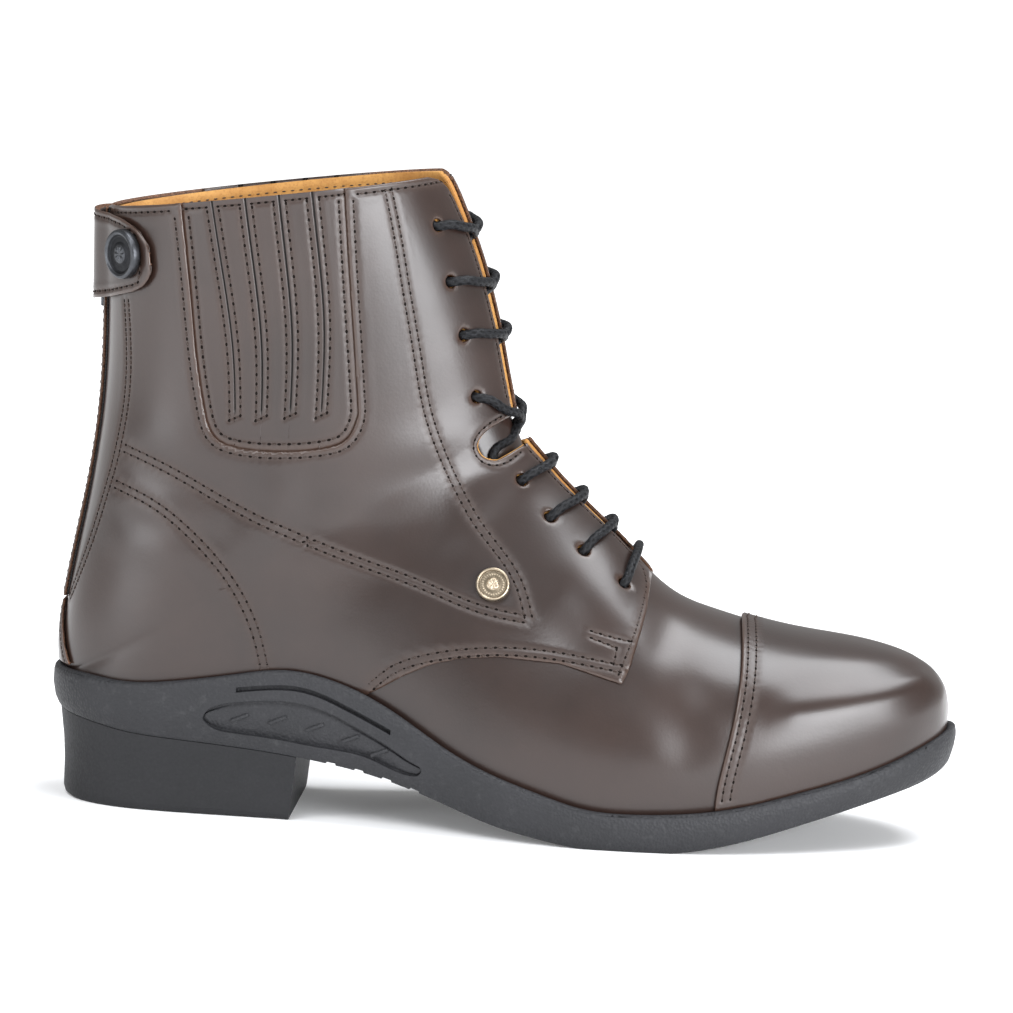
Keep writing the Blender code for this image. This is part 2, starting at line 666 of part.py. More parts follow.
def tread_cutter():
    """Straight grooves across the underside; only those in the shank run out at its sides."""
    bm = bmesh.new()
    for x in np.arange(HEEL_BREAST_X + TREAD_START, TREAD_END_X, TREAD_PITCH):
        z = float(under_height(x))
        slope = math.atan2(float(under_height(x + 2) - under_height(x - 2)), 4.0)
        edge = TREAD_EDGE if x > SHANK_END_X else -SOLE_MARGIN
        low, high = (TOWARDS[side] * (half_width[side](x) - edge) for side in TOWARDS)
        place = (Matrix.Translation((x, (low + high) / 2, z)) @ Matrix.Rotation(-slope, 4, "Y")
                 @ Matrix.Diagonal((TREAD_GROOVE, high - low, 2 * TREAD_DEPTH, 1)))
        bmesh.ops.create_cube(bm, size=1.0, matrix=place)
    return add_piece("tread_cutter", bm)


# Heel block from the floor up: past the bottom edge of the upper, share of the height
HEEL_SIDE = ((-0.9, 0.0), (0.0, 0.05), (0.0, 0.4), (0.5, 0.65), (1.8, 1.0))


def make_heel(material):
    breast = last.section_at_edge(HEEL_BREAST_X)
    sections = np.concatenate([np.linspace(breast, 13, 5), [13.6, 14.1, 14.5, 14.8, HEEL]])
    lateral = [last.at("lateral", s, 1.0)[:2] for s in sections]
    medial = [last.at("medial", s, 1.0)[:2] for s in sections]
    loop = np.array(lateral + medial[-2::-1])
    along = np.gradient(loop, axis=0)
    away = np.stack([along[:, 1], -along[:, 0]], axis=1)
    away /= -np.linalg.norm(away, axis=1, keepdims=True)
    away *= -np.sign(away[len(sections) - 1, 0])
    rings = []
    for outset, share in HEEL_SIDE:
        ring = loop + away * outset
        ring[[0, -1], 0] = HEEL_BREAST_X - HEEL_BREAST_LEAN * (1 - share)
        rings.append(np.column_stack([ring, (under_height(ring[:, 0]) - GAP) * share]))
    return ring_solid("heel", rings, material, pointed_start=False)


def make_insole(material):
    loop, away = edge_loop(SOLE_SECTIONS)
    ring = loop - away * (WALL + INSOLE_CLEAR)
    base = edge_height(loop[:, 0])
    low = np.column_stack([ring, base])
    high = np.column_stack([ring, base + INSOLE_THICK])
    return ring_solid("insole", [low, high], material)


def make_upper(material, cutters):
    """Outer and inner skin, joined round the throat, the collar and the bottom edge."""
    outer_rows, step, heel = upper_rows(0.0)
    inner_rows, _, _ = upper_rows(-WALL)
    bm = bmesh.new()
    outer = add_boot_sheet(bm, outer_rows)
    inner = {}
    for side in TOWARDS:
        rows = [row[side] for row in inner_rows]
        inner[side] = add_grid(bm, rows[:step + 1] + rows[step + 2:], side == "lateral")
        inner[side].insert(step + 1, inner[side][step])
        add_rim(bm, [row[0] for row in outer[side][step:]], [row[0] for row in inner[side][step:]])
        add_rim(bm, outer[side][-1], inner[side][-1])
        add_rim(bm, [row[-1] for row in outer[side][:heel + 1]],
                [row[-1] for row in inner[side][:heel + 1]])
    bmesh.ops.remove_doubles(bm, verts=bm.verts, dist=0.01)
    bmesh.ops.recalc_face_normals(bm, faces=bm.faces)
    upper = add_piece("upper", bm, material)
    for cutter in cutters:
        cut(upper, cutter)
    return upper


def eyelet_places():
    """Section and share of each eyelet; the medial ones lie as far from their own edge."""
    places = {"lateral": [last.find("lateral", place) for place in EYELETS], "medial": []}
    for section, share in places["lateral"]:
        length = {side: np.interp(section, last.sections, last.length[side]) for side in TOWARDS}
        inset = (share - last.opening("lateral", section)) * length["lateral"]
        places["medial"].append((section, last.opening("medial", section) + inset / length["medial"]))
    return places


def turned_to(place, direction):
    """A matrix that moves the origin to the place and turns +Z to the direction."""
    turn = Vector(direction).to_track_quat("Z", "Y").to_matrix().to_4x4()
    return Matrix.Translation(Vector(place)) @ turn


def eyelet_cutter(places):
    bm = bmesh.new()
    for side in TOWARDS:
        for place in places[side]:
            bmesh.ops.create_cone(bm, cap_ends=True, segments=8, radius1=EYELET_HOLE / 2,
                                  radius2=EYELET_HOLE / 2, depth=4 * WALL,
                                  matrix=turned_to(last.at(side, *place), last.outside(side, *place)))
    return add_piece("eyelet_cutter", bm)


def gusset_rows(side, level, above):
    """Points of the shaft round a gusset, with one more row above the collar."""
    rows = [[last.at(side, section, share, level) for share in np.linspace(0.2, 0.92, 9)]
            for section in np.linspace(16.4, COLLAR, 5)]
    if above:
        rows.append([point + (0.0, 0.0, above) for point in rows[-1]])
    return rows if side == "lateral" else rows[::-1]


def inset(outline, distance):
    """The outline moved inwards all round; it runs round the side where the outline turns."""
    points = np.array(outline)
    ahead = np.roll(points, -1, axis=0) - points
    ahead /= np.linalg.norm(ahead, axis=1, keepdims=True)
    normal = np.stack([-ahead[:, 1], ahead[:, 0]], axis=1)
    corner = normal + np.roll(normal, 1, axis=0)
    corner *= 2 / (corner ** 2).sum(axis=1, keepdims=True)
    return points + corner * distance


def gusset_window(name, side, outline):
    y = TOWARDS[side]
    return prism(name, outline, 10 * y, FAR_ASIDE * y)


def gusset_cutter(side):
    recess = sheet_solid("gusset_recess_" + side,
                         gusset_rows(side, QUARTER_STEP + GUSSET_SEAT, GUSSET_SEAT),
                         gusset_rows(side, QUARTER_STEP - GUSSET_SEAT, GUSSET_SEAT))
    cut(recess, gusset_window("gusset_window_" + side, side, GUSSET), "INTERSECT")
    return recess


def make_gusset(side, material):
    base = QUARTER_STEP - GUSSET_SEAT + GAP
    gusset = sheet_solid("gusset_" + side, gusset_rows(side, base + GUSSET_THICK, 0.0),
                         gusset_rows(side, base, 0.0), material)
    cut(gusset, gusset_window("gusset_edge_" + side, side, inset(GUSSET, GAP)), "INTERSECT")
    for number, (top_x, top_z, low_x, low_z) in enumerate(SLITS):
        half = SLIT / 2
        outline = ((top_x - half, top_z), (low_x - half, low_z),
                   (low_x + half, low_z), (top_x + half, top_z))
        cut(gusset, gusset_window(f"slit_cutter_{side}_{number}", side, outline))


def make_toe_cap(material):
    """A second layer over the toe, down to the rim of the sole."""
    edge_x, edge_z = (column(CAP_EDGE, CAP_EDGE_COLUMNS, name) for name in ("x", "z"))

    def ends_behind(side, section, share):
        point = last.at(side, section, share)
        return point[0] < np.interp(point[2], edge_z, edge_x)

    def lowest(side, section):
        for share in np.arange(1.0, 0.3, -0.005):
            point = last.at(side, section, share, CAP_SEAT + CAP_THICK)
            if point[2] > rim_height(point[0]) + CAP_CLEAR:
                return share

    ends = {side: [next(s for s in np.arange(5.0, 7.0, 0.01) if ends_behind(side, s, share))
                   for share in CAP_ACROSS] for side in TOWARDS}
    skins = []
    for level in (CAP_SEAT + CAP_THICK, CAP_SEAT):
        rows = []
        for along in CAP_ROWS:
            half = {side: [last.at(side, end * along, share * lowest(side, end * along), level)
                           for end, share in zip(ends[side], CAP_ACROSS)] for side in TOWARDS}
            rows.append(half["lateral"][::-1] + half["medial"][1:])
        skins.append(rows)
    sheet_solid("toe_cap", *skins, material, folded_start=True)


def on_back(y, z, level):
    """The point of the back, seen from behind at y and z, raised by level."""
    side = "lateral" if y < 0 else "medial"
    return last.at(side, *last.find(side, (y, z), "yz"), level)


def strap_level(y):
    """Level of the strap's inner side, which rises over the zip."""
    near, far = STRAP_LIFT
    lift = min(max((far - abs(y)) / (far - near), 0.0), 1.0)
    return QUARTER_STEP + GAP + (OVERLAY + GAP) * lift * lift * (3 - 2 * lift)


def make_strap(material):
    skins = [[[on_back(y, low + (high - low) * share, strap_level(y) + thick) for share in (0, 0.5, 1)]
              for y, low, high in STRAP] for thick in (STRAP_THICK, 0.0)]
    sheet_solid("back_strap", *skins, material)


def make_back_overlay(name, lines, material):
    """A strip on the back; each line is its height and its half width."""
    base = QUARTER_STEP + GAP
    skins = [[[on_back(half * share, z, base + thick) for share in (-1, -0.5, 0, 0.5, 1)]
              for z, half in lines] for thick in (OVERLAY, 0.0)]
    sheet_solid(name, *skins, material)


# Buttons from the base up: share of the radius, share of the height
BUTTON = ((0.94, 0.0), (1.0, 0.2), (0.97, 0.5), (0.78, 0.82), (0.4, 1.0))


def make_button(name, place, level, diameter, height, material):
    """A domed metal button on the lateral side."""
    found = last.find("lateral", place)
    turned = turned_to(last.at("lateral", *found, level), last.outside("lateral", *found))
    angles = np.linspace(0, 2 * math.pi, 17)[:-1]
    rings = [[turned @ Vector((math.cos(a) * share * diameter / 2, math.sin(a) * share * diameter / 2,
                               rise * height)) for a in angles] for share, rise in BUTTON]
    ring_solid(name, rings, material)


def tube(name, path, material=None):
    """A cord of six sides along the path."""
    path = [Vector(p) for p in path]
    angles = np.linspace(0, 2 * math.pi, 7)[:-1]
    side = Vector((0.0, 0.0, 1.0))
    rings = []
    for i, point in enumerate(path):
        ahead = (path[min(i + 1, len(path) - 1)] - path[max(i - 1, 0)]).normalized()
        side = (side - ahead * side.dot(ahead)).normalized()
        other = ahead.cross(side)
        rings.append([point + (side * math.cos(a) + other * math.sin(a)) * LACE / 2 for a in angles])
    return ring_solid(name, rings, material)


LACE_LEVEL = QUARTER_STEP + GAP + LACE / 2  # middle of a cord that lies on a facing


def cord_across(side, section, share, drop):
    """From an eyelet over its own edge, and down towards the inside of the other facing."""
    other = "medial" if side == "lateral" else "lateral"
    edge = last.opening(side, section)
    goal = last.opening(other, section - drop)
    reach = (LACE / 2 + 2 * GAP) / np.interp(section, last.sections, last.length[other])
    return [last.at(side, section, share, LACE_LEVEL),
            last.at(side, section - 0.1 * drop, (share + edge) / 2, LACE_LEVEL + GAP),
            last.at(side, section - 0.2 * drop, edge, LACE_LEVEL),
            last.at(side, section - 0.5 * drop, 0.0, LACE_LEVEL - LACE / 2),
            last.at(other, section - drop, goal - reach, -LACE / 2)]


def make_laces(places, material):
    """Crossings from the top down, and the bar through the lowest eyelets."""
    pairs = list(zip(places["lateral"], places["medial"]))
    for number, (lateral, medial) in enumerate(pairs[:-1], 1):
        crossing = tube(f"lace_crossing_{number}", cord_across("lateral", *lateral, LACE_DROP), material)
        cut(crossing, tube(f"lace_partner_{number}", cord_across("medial", *medial, LACE_DROP)), "UNION")
    halves = [cord_across(side, *place, 0.0)[:3] for side, place in zip(TOWARDS, pairs[-1])]
    ridge = last.at("lateral", pairs[-1][0][0], 0.0, LACE_LEVEL)
    tube("lace_bar", halves[0] + [ridge] + halves[1][::-1], material)


def tongue_level(section):
    """The tongue lies under the facings and leans into the shaft at its top."""
    lean = min(max((section - TONGUE_LEAN_START) / (COLLAR - TONGUE_LEAN_START), 0.0), 1.0)
    return -(WALL + TONGUE_DROP) - TONGUE_LEAN * lean * lean


TONGUE_LEAN_START = 18.0  # section
TONGUE_SECTIONS = (6.6, 7.1, 8.0, 9.5, 11.0, 12.5, 14.0, 15.5, 17.0, 18.5, 20.0, 21.5, 22.8)
TONGUE_TIP = 0.75  # width of the end under the vamp, of the full width


def make_tongue(material):
    skins = []
    for thick in (0.0, TONGUE_THICK):
        rows = []
        for section in TONGUE_SECTIONS:
            half = {}
            width = TONGUE_HALF * (TONGUE_TIP if section < THROAT else 1.0)
            for side in TOWARDS:
                reach = width / np.interp(section, last.sections, last.length[side])
                half[side] = [last.at(side, section, reach * share, tongue_level(section) - thick)
                              for share in np.linspace(0, 1, 5)]
            rows.append(half["lateral"][::-1] + half["medial"][1:])
        skins.append(rows)
    sheet_solid("tongue", *skins, material)


def main():
    for old in list(bpy.data.objects):
        bpy.data.objects.remove(old)
    leather = paint("brown_leather", (0.10, 0.075, 0.065), 0.42)
    rubber = paint("charcoal_rubber", (0.055, 0.055, 0.06), 0.7)
    lining = paint("tan_lining", (0.62, 0.36, 0.12), 0.75)
    tape = paint("black_tape", (0.02, 0.02, 0.02), 0.6)
    cord = paint("black_cord", (0.015, 0.015, 0.015), 0.5)
    pewter = paint("pewter", (0.35, 0.31, 0.26), 0.35, 1.0)
    gunmetal = paint("gunmetal", (0.05, 0.05, 0.055), 0.3, 1.0)
    eyelets = eyelet_places()
    make_outsole(rubber, closed_form("seat_cutter", SEAT_GAP))
    make_heel(rubber)
    make_insole(lining)
    make_upper(leather, [gusset_cutter("lateral"), gusset_cutter("medial"), eyelet_cutter(eyelets),
                         prism("notch_cutter", NOTCH, -FAR_ASIDE, FAR_ASIDE)])
    make_tongue(leather)
    make_toe_cap(leather)
    for side in TOWARDS:
        make_gusset(side, leather)
    make_back_overlay("back_zip", [(z, ZIP_HALF) for z in np.linspace(*ZIP_ENDS, 9)], tape)
    make_back_overlay("heel_tab", HEEL_TAB, leather)
    make_strap(leather)
    make_button("strap_stud", STUD_PLACE, strap_level(STRAP_LIFT[1]) + STRAP_THICK + GAP, STUD,
                STUD_HEIGHT, gunmetal)
    make_button("rivet", RIVET_PLACE, QUARTER_STEP + GAP, RIVET, RIVET_HEIGHT, pewter)
    make_laces(eyelets, cord)


main()
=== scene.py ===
import math

import bmesh
import bpy
import numpy as np
from mathutils import Matrix, Vector
from mathutils.bvhtree import BVHTree
from mathutils.kdtree import KDTree


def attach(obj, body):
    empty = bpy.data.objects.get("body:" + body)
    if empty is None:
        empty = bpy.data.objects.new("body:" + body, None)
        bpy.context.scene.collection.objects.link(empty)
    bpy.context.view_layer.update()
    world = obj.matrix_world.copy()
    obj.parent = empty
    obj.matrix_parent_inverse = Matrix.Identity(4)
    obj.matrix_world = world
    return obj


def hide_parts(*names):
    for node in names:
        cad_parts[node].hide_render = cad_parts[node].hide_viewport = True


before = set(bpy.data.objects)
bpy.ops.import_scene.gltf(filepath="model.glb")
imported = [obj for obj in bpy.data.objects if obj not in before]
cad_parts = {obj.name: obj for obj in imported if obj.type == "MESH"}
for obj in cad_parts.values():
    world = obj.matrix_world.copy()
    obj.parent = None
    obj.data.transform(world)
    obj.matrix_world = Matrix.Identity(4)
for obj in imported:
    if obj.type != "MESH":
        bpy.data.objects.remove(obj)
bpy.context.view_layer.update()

mm = 0.001  # every size below is in millimetres, until a piece is finished

# camera, where the photograph was taken from

photo = {"azimuth": 3.0, "elevation": 7.5, "roll": 2.8, "distance": 1600.0, "target": (-2.0, 0.0, 98.6),
         "lens": 180.0, "sensor": 36.0, "pixels": 1013, "clip": (0.1, 30.0)}


def cameraAxes():
    turn, tip, roll = (math.radians(photo[name]) for name in ("azimuth", "elevation", "roll"))
    right = np.array((math.cos(turn), math.sin(turn), 0.0))
    back = np.array((math.sin(turn) * math.cos(tip), -math.cos(turn) * math.cos(tip), math.sin(tip)))
    up = np.cross(back, right)
    return (right * math.cos(roll) + up * math.sin(roll), up * math.cos(roll) - right * math.sin(roll), back)


cameraRight, cameraUp, cameraBack = cameraAxes()
cameraEye = np.array(photo["target"]) + cameraBack * photo["distance"]


def photoRay(pixel):
    field = photo["distance"] * photo["sensor"] / photo["lens"]
    across, down = (np.array(pixel, float) / photo["pixels"] - 0.5) * field
    return cameraRight * across - cameraUp * down - cameraBack * photo["distance"]


def makeCamera():
    data = bpy.data.cameras.new("photoCamera")
    data.lens, data.sensor_width = photo["lens"], photo["sensor"]
    data.clip_start, data.clip_end = photo["clip"]
    camera = bpy.data.objects.new("photoCamera", data)
    turned = np.stack([cameraRight, cameraUp, cameraBack], axis=1)
    camera.matrix_world = Matrix.Translation(cameraEye * mm) @ Matrix(turned.tolist()).to_4x4()
    bpy.context.scene.collection.objects.link(camera)
    bpy.context.scene.camera = camera


makeCamera()
print("camera is set")

# the last: the form under every leather piece, as sections from the toe to the collar

# bottom edge of the upper from above: x, lateral half width, medial half width
outlineRows = (
    (-139.0, 0.0, 0.0), (-136.0, 13.0, 12.8), (-128.0, 22.6, 22.2), (-112.0, 29.0, 28.2), (-85.0, 31.0, 29.2),
    (-50.0, 33.2, 29.0), (-15.0, 40.2, 34.6), (15.0, 46.2, 43.2), (42.0, 47.8, 47.8), (70.0, 44.6, 46.6),
    (95.0, 37.6, 40.8), (115.0, 28.6, 32.0), (129.0, 18.8, 21.8), (136.6, 9.4, 11.2), (139.0, 0.0, 0.0))

# sole from the side: x, rim, underside
soleRows = (
    (-144.0, 41.5, 28.8), (-130.0, 41.8, 27.2), (-118.0, 41.0, 25.3), (-102.0, 42.3, 24.0),
    (-82.0, 45.8, 22.7), (-66.0, 48.0, 21.2), (-54.0, 46.4, 19.6), (-41.0, 42.1, 17.5),
    (-29.0, 36.0, 14.6), (-14.5, 27.4, 10.0),
    (0.0, 20.9, 5.2), (15.0, 16.2, 2.0), (28.0, 12.8, 0.0), (46.0, 11.9, -0.7), (65.0, 13.2, 1.2),
    (80.0, 15.8, 4.6), (95.0, 19.8, 9.2), (110.0, 24.0, 13.9), (125.0, 29.5, 18.6), (138.0, 35.6, 23.4),
    (144.0, 38.4, 26.8))

# front x, front z, back x, back z, lateral, medial, widest, front power, back power
lastRows = (
    (139.2, 42.0, 139.0, None, 0.0, 0.0, 0.62, 2.30, 2.40),
    (138.2, 47.4, 137.2, None, 9.6, 11.2, 0.64, 2.30, 2.40),
    (135.4, 52.0, 131.5, None, 17.6, 20.2, 0.66, 2.40, 2.40),
    (128.4, 56.6, 121.5, None, 25.8, 29.0, 0.68, 2.45, 2.40),
    (111.6, 60.8, 105.0, None, 35.0, 38.4, 0.71, 2.45, 2.40),
    (89.6, 63.6, 84.5, None, 42.4, 45.0, 0.75, 2.35, 2.40),
    (68.0, 68.4, 63.0, None, 46.8, 48.2, 0.78, 2.20, 2.40),
    (51.0, 75.0, 41.0, None, 49.0, 48.8, 0.80, 2.05, 2.40),
    (37.4, 87.9, 17.0, None, 47.8, 45.2, 0.79, 1.95, 2.40),
    (28.6, 96.7, -10.0, None, 42.8, 38.0, 0.76, 1.90, 2.40),
    (21.4, 103.5, -40.0, None, 37.6, 33.4, 0.71, 1.95, 2.40),
    (15.0, 109.7, -70.0, None, 35.0, 32.2, 0.66, 2.00, 2.40),
    (9.6, 115.3, -98.0, None, 34.4, 32.8, 0.62, 2.10, 2.40),
    (5.4, 119.7, -120.0, None, 34.4, 33.2, 0.59, 2.15, 2.35),
    (2.4, 123.7, -134.0, None, 34.4, 33.5, 0.56, 2.20, 2.30),
    (0.1, 128.6, -139.0, None, 34.5, 33.8, 0.54, 2.20, 2.30),
    (-1.6, 135.0, -140.0, 50.0, 34.7, 34.2, 0.52, 2.20, 2.25),
    (-3.8, 144.0, -138.6, 64.0, 35.0, 34.7, 0.51, 2.20, 2.20),
    (-6.2, 154.0, -135.6, 82.0, 35.6, 35.4, 0.50, 2.20, 2.20),
    (-9.2, 164.5, -132.0, 103.0, 36.6, 36.4, 0.50, 2.20, 2.20),
    (-12.6, 175.0, -129.6, 126.0, 37.8, 37.8, 0.50, 2.20, 2.15),
    (-16.6, 185.0, -129.2, 148.0, 39.2, 39.2, 0.50, 2.20, 2.10),
    (-20.6, 194.3, -129.6, 168.5, 40.5, 40.5, 0.50, 2.20, 2.10),
    (-24.5, 203.5, -130.0, 188.0, 41.6, 41.6, 0.50, 2.20, 2.10))

# half opening of the throat along the leather: section, lateral, medial
openingRows = (
    (7.5, 4.5, 4.5), (8.0, 6.0, 6.0), (10.0, 7.0, 6.5), (14.0, 8.0, 6.5), (18.0, 9.0, 7.0), (21.4, 10.5, 8.0),
    (22.2, 12.2, 9.7), (22.6, 14.4, 11.9), (22.85, 17.6, 15.1), (23.0, 23.0, 20.0))

# front and lower edge of the quarters from the side: x, z
quarterEdge = (
    (46.0, 90.0), (44.8, 72.5), (43.6, 67.0), (41.0, 57.0), (38.6, 51.3), (19.1, 56.6), (0.0, 57.2),
    (-11.8, 55.8), (-21.0, 53.3), (-30.0, 48.6), (-48.0, 37.4))

# sections where the throat, the heel and the collar are; the rest in millimetres
boot = {"throat": 7.5, "heelSection": 15, "collar": 23, "quarterLevel": 1.0, "quarterWall": 1.4,
        "vampWall": 1.2, "soleMargin": 4.6, "soleLip": 2.6, "ankleMiddle": -62.0}
quarterCorner = 4  # place of the front corner in quarterEdge
towards = {"lateral": -1.0, "medial": 1.0}
otherSide = {"lateral": "medial", "medial": "lateral"}


def rowColumn(rows, number):
    return np.array([row[number] for row in rows], float)


def unit(vectors):
    return vectors / np.maximum(np.linalg.norm(vectors, axis=-1, keepdims=True), 1e-9)


def walkAlong(points):  # distance walked at each point of a line
    return np.concatenate([[0], np.linalg.norm(np.diff(points, axis=0), axis=1).cumsum()])


def curveThrough(knots, values):  # natural cubic spline; values may be points
    knots, values = np.asarray(knots, float), np.asarray(values, float)
    flat = values.reshape(len(knots), -1)
    step = np.diff(knots)
    rise = np.diff(flat, axis=0) / step[:, None]
    system = np.eye(len(knots))
    bend = np.zeros_like(flat)
    for i in range(1, len(knots) - 1):
        system[i, i - 1:i + 2] = step[i - 1], 2 * (step[i - 1] + step[i]), step[i]
        bend[i] = 6 * (rise[i] - rise[i - 1])
    bend = np.linalg.solve(system, bend)

    def at(where):
        where = np.asarray(where, float)
        i = np.clip(np.searchsorted(knots, where) - 1, 0, len(knots) - 2)
        u, h = (where - knots[i])[..., None], step[i][..., None]
        slope = rise[i] - h * (2 * bend[i] + bend[i + 1]) / 6
        found = flat[i] + u * (slope + u * (bend[i] / 2 + u * (bend[i + 1] - bend[i]) / (6 * h)))
        return found.reshape(where.shape + values.shape[1:])

    return at


rimHeight = curveThrough(rowColumn(soleRows, 0), rowColumn(soleRows, 1))
underCurve = curveThrough(rowColumn(soleRows, 0), rowColumn(soleRows, 2))


def underHeight(x):
    return np.maximum(0.0, underCurve(x))


def edgeHeight(x):
    return rimHeight(x) - boot["soleLip"]


def widthReader(side):
    x = rowColumn(outlineRows, 0)
    near, far = (rowColumn(outlineRows, n) for n in ((1, 2) if side == "lateral" else (2, 1)))
    wrap = 3  # rows of the other side that carry the curve on round both ends
    loopX = np.concatenate([x[wrap:0:-1], x, x[-2:-wrap - 2:-1]])
    loopY = np.concatenate([-far[wrap:0:-1], near, -far[-2:-wrap - 2:-1]])
    curve = curveThrough(np.arange(len(loopX)) - wrap, np.stack([loopX, loopY], axis=1))
    dense = curve(np.linspace(0, len(x) - 1, 2400))
    return lambda where: np.interp(where, dense[:, 0], dense[:, 1], left=0.0, right=0.0)


halfWidth = {side: widthReader(side) for side in towards}


class Last:
    def __init__(self, perRow=40, along=181, turns=140):
        self.perRow, self.along, self.turns = perRow, along, turns
        rows, heel = np.arange(len(lastRows)), boot["heelSection"]
        self.sections = np.linspace(0, boot["collar"], boot["collar"] * perRow + 1)
        self.shares = np.linspace(0, 1, along)
        foot = self.sections < heel
        frontX, frontZ = (curveThrough(rows, rowColumn(lastRows, n))(self.sections) for n in (0, 1))
        edgeX = rowColumn(lastRows, 2)
        backZ = [float(edgeHeight(edgeX[heel]))] + [row[3] for row in lastRows[heel + 1:]]
        underFoot = curveThrough(rows[:heel + 1], edgeX[:heel + 1])(self.sections)
        upTheBack = curveThrough(rows[heel:], edgeX[heel:])(self.sections)
        self.backX = np.where(foot, underFoot, upTheBack)
        self.backZ = np.where(foot, edgeHeight(underFoot), curveThrough(rows[heel:], backZ)(self.sections))
        self.front = np.stack([frontX, frontZ], axis=1)
        widest, frontPower, backPower = (curveThrough(rows, rowColumn(lastRows, n))(self.sections)[:, None]
                                         for n in (6, 7, 8))
        self.points, self.outward, self.length = {}, {}, {}
        for number, side in enumerate(towards):
            wide = np.maximum(curveThrough(rows, rowColumn(lastRows, 4 + number))(self.sections), 0.0)
            edge = np.where(foot, halfWidth[side](self.backX), 0.0)
            self.layOut(side, wide, edge, widest, 2 / frontPower, 2 / backPower)
            self.findOutward(side)
        self.shareSeams()

    def layOut(self, side, wide, edge, widest, front, back):  # blunt ovals, cut off at the bottom edge
        cut = np.where(wide > 0.01, edge / np.maximum(wide, 0.01), 0.9)
        cut = np.clip(cut, 0.0, 0.985)[:, None]
        turn = np.linspace(0, math.pi / 2, self.turns)[None, :]
        down, out = widest * (1 - np.cos(turn) ** front), np.sin(turn) ** front
        lastTurn = np.arccos(cut ** (1 / back))
        turn = lastTurn * np.linspace(0, 1, self.turns)[None, 1:]
        reach = (1 - widest) / np.sin(lastTurn) ** back
        down = np.concatenate([down, widest + reach * np.sin(turn) ** back], axis=1)
        out = np.concatenate([out, np.maximum(np.cos(turn), 0.0) ** back], axis=1)
        x = self.front[:, :1] + (self.backX - self.front[:, 0])[:, None] * down
        z = self.front[:, 1:] + (self.backZ - self.front[:, 1])[:, None] * down
        path = np.stack([x, towards[side] * wide[:, None] * out, z], axis=2)
        walked = np.linalg.norm(np.diff(path, axis=1), axis=2).cumsum(axis=1)
        walked = np.concatenate([np.zeros((len(path), 1)), walked], axis=1)
        self.length[side] = walked[:, -1]
        self.points[side] = np.stack([self.spread(self.shares * way[-1], way, row)
                                      for way, row in zip(walked, path)])

    def spread(self, where, walked, points):
        return np.stack([np.interp(where, walked, points[:, axis]) for axis in range(3)], axis=1)

    def findOutward(self, side):  # each point is compared with the nearest points of the sections beside it
        points, length = self.points[side], self.length[side]
        tangent = unit(np.gradient(points, axis=1))
        heel = boot["heelSection"] * self.perRow
        normals = np.empty_like(points)
        for i, row in enumerate(points):
            first, final = (0, heel) if i < heel else (heel, len(points) - 1)
            beside = []
            for k in (max(i - 1, first), min(i + 1, final)):
                walked = self.shares * length[k]
                shift = ((points[k] - row) * tangent[i]).sum(axis=1)
                beside.append(self.spread(walked - shift, walked, points[k]))
            normals[i] = np.cross(beside[1] - beside[0], tangent[i]) * -towards[side]
        self.outward[side] = unit(normals)

    def shareSeams(self):  # both sides face the same way where they meet
        lateral, medial = self.outward["lateral"], self.outward["medial"]
        back = self.sections >= boot["heelSection"]
        for part in (np.s_[1:, 0], np.s_[0, 1:], np.s_[back, -1]):
            shared = lateral[part] + medial[part]
            shared[..., 1] = 0.0
            lateral[part] = medial[part] = unit(shared)
        for grid in (lateral, medial):
            grid[0, 0] = unit(grid[1, 0] + grid[0, 1])

    def look(self, side, section, share):  # points and outward directions
        section, share = np.broadcast_arrays(np.asarray(section, float), np.asarray(share, float))
        i = np.clip(section, 0, boot["collar"]) * self.perRow
        j = np.clip(share, 0, 1) * (self.along - 1)
        i0 = np.minimum(i.astype(int), len(self.sections) - 2)
        j0 = np.minimum(j.astype(int), self.along - 2)
        u, v = (i - i0)[..., None], (j - j0)[..., None]
        found = []
        for grid in (self.points[side], self.outward[side]):
            near = grid[i0, j0] * (1 - v) + grid[i0, j0 + 1] * v
            far = grid[i0 + 1, j0] * (1 - v) + grid[i0 + 1, j0 + 1] * v
            found.append(near * (1 - u) + far * u)
        return found[0], unit(found[1])

    def at(self, side, section, share, level=0.0):
        point, outward = self.look(side, section, share)
        return point + outward * np.asarray(level, float)[..., None]

    def lengthAt(self, side, section):
        return np.interp(section, self.sections, self.length[side])

    def opening(self, side, section):  # share of the section that the throat takes
        widths = rowColumn(openingRows, 1 if side == "lateral" else 2)
        half = np.interp(section, rowColumn(openingRows, 0), widths)
        return np.where(np.asarray(section) < boot["throat"], 0.0, half / self.lengthAt(side, section))

    def shift(self, side, section, share, vector):  # section and share after a small step along the surface
        ds, dv = 0.02, 0.004  # steps that measure the slope
        alongSection = (self.at(side, section + ds, share) - self.at(side, section - ds, share)) / (2 * ds)
        alongShare = (self.at(side, section, share + dv) - self.at(side, section, share - dv)) / (2 * dv)
        aa, bb = (alongSection ** 2).sum(-1), (alongShare ** 2).sum(-1)
        ab = (alongSection * alongShare).sum(-1)
        da, db = (alongSection * vector).sum(-1), (alongShare * vector).sum(-1)
        scale = np.maximum(aa * bb - ab ** 2, 1e-9)
        return section + (da * bb - db * ab) / scale, share + (db * aa - da * ab) / scale

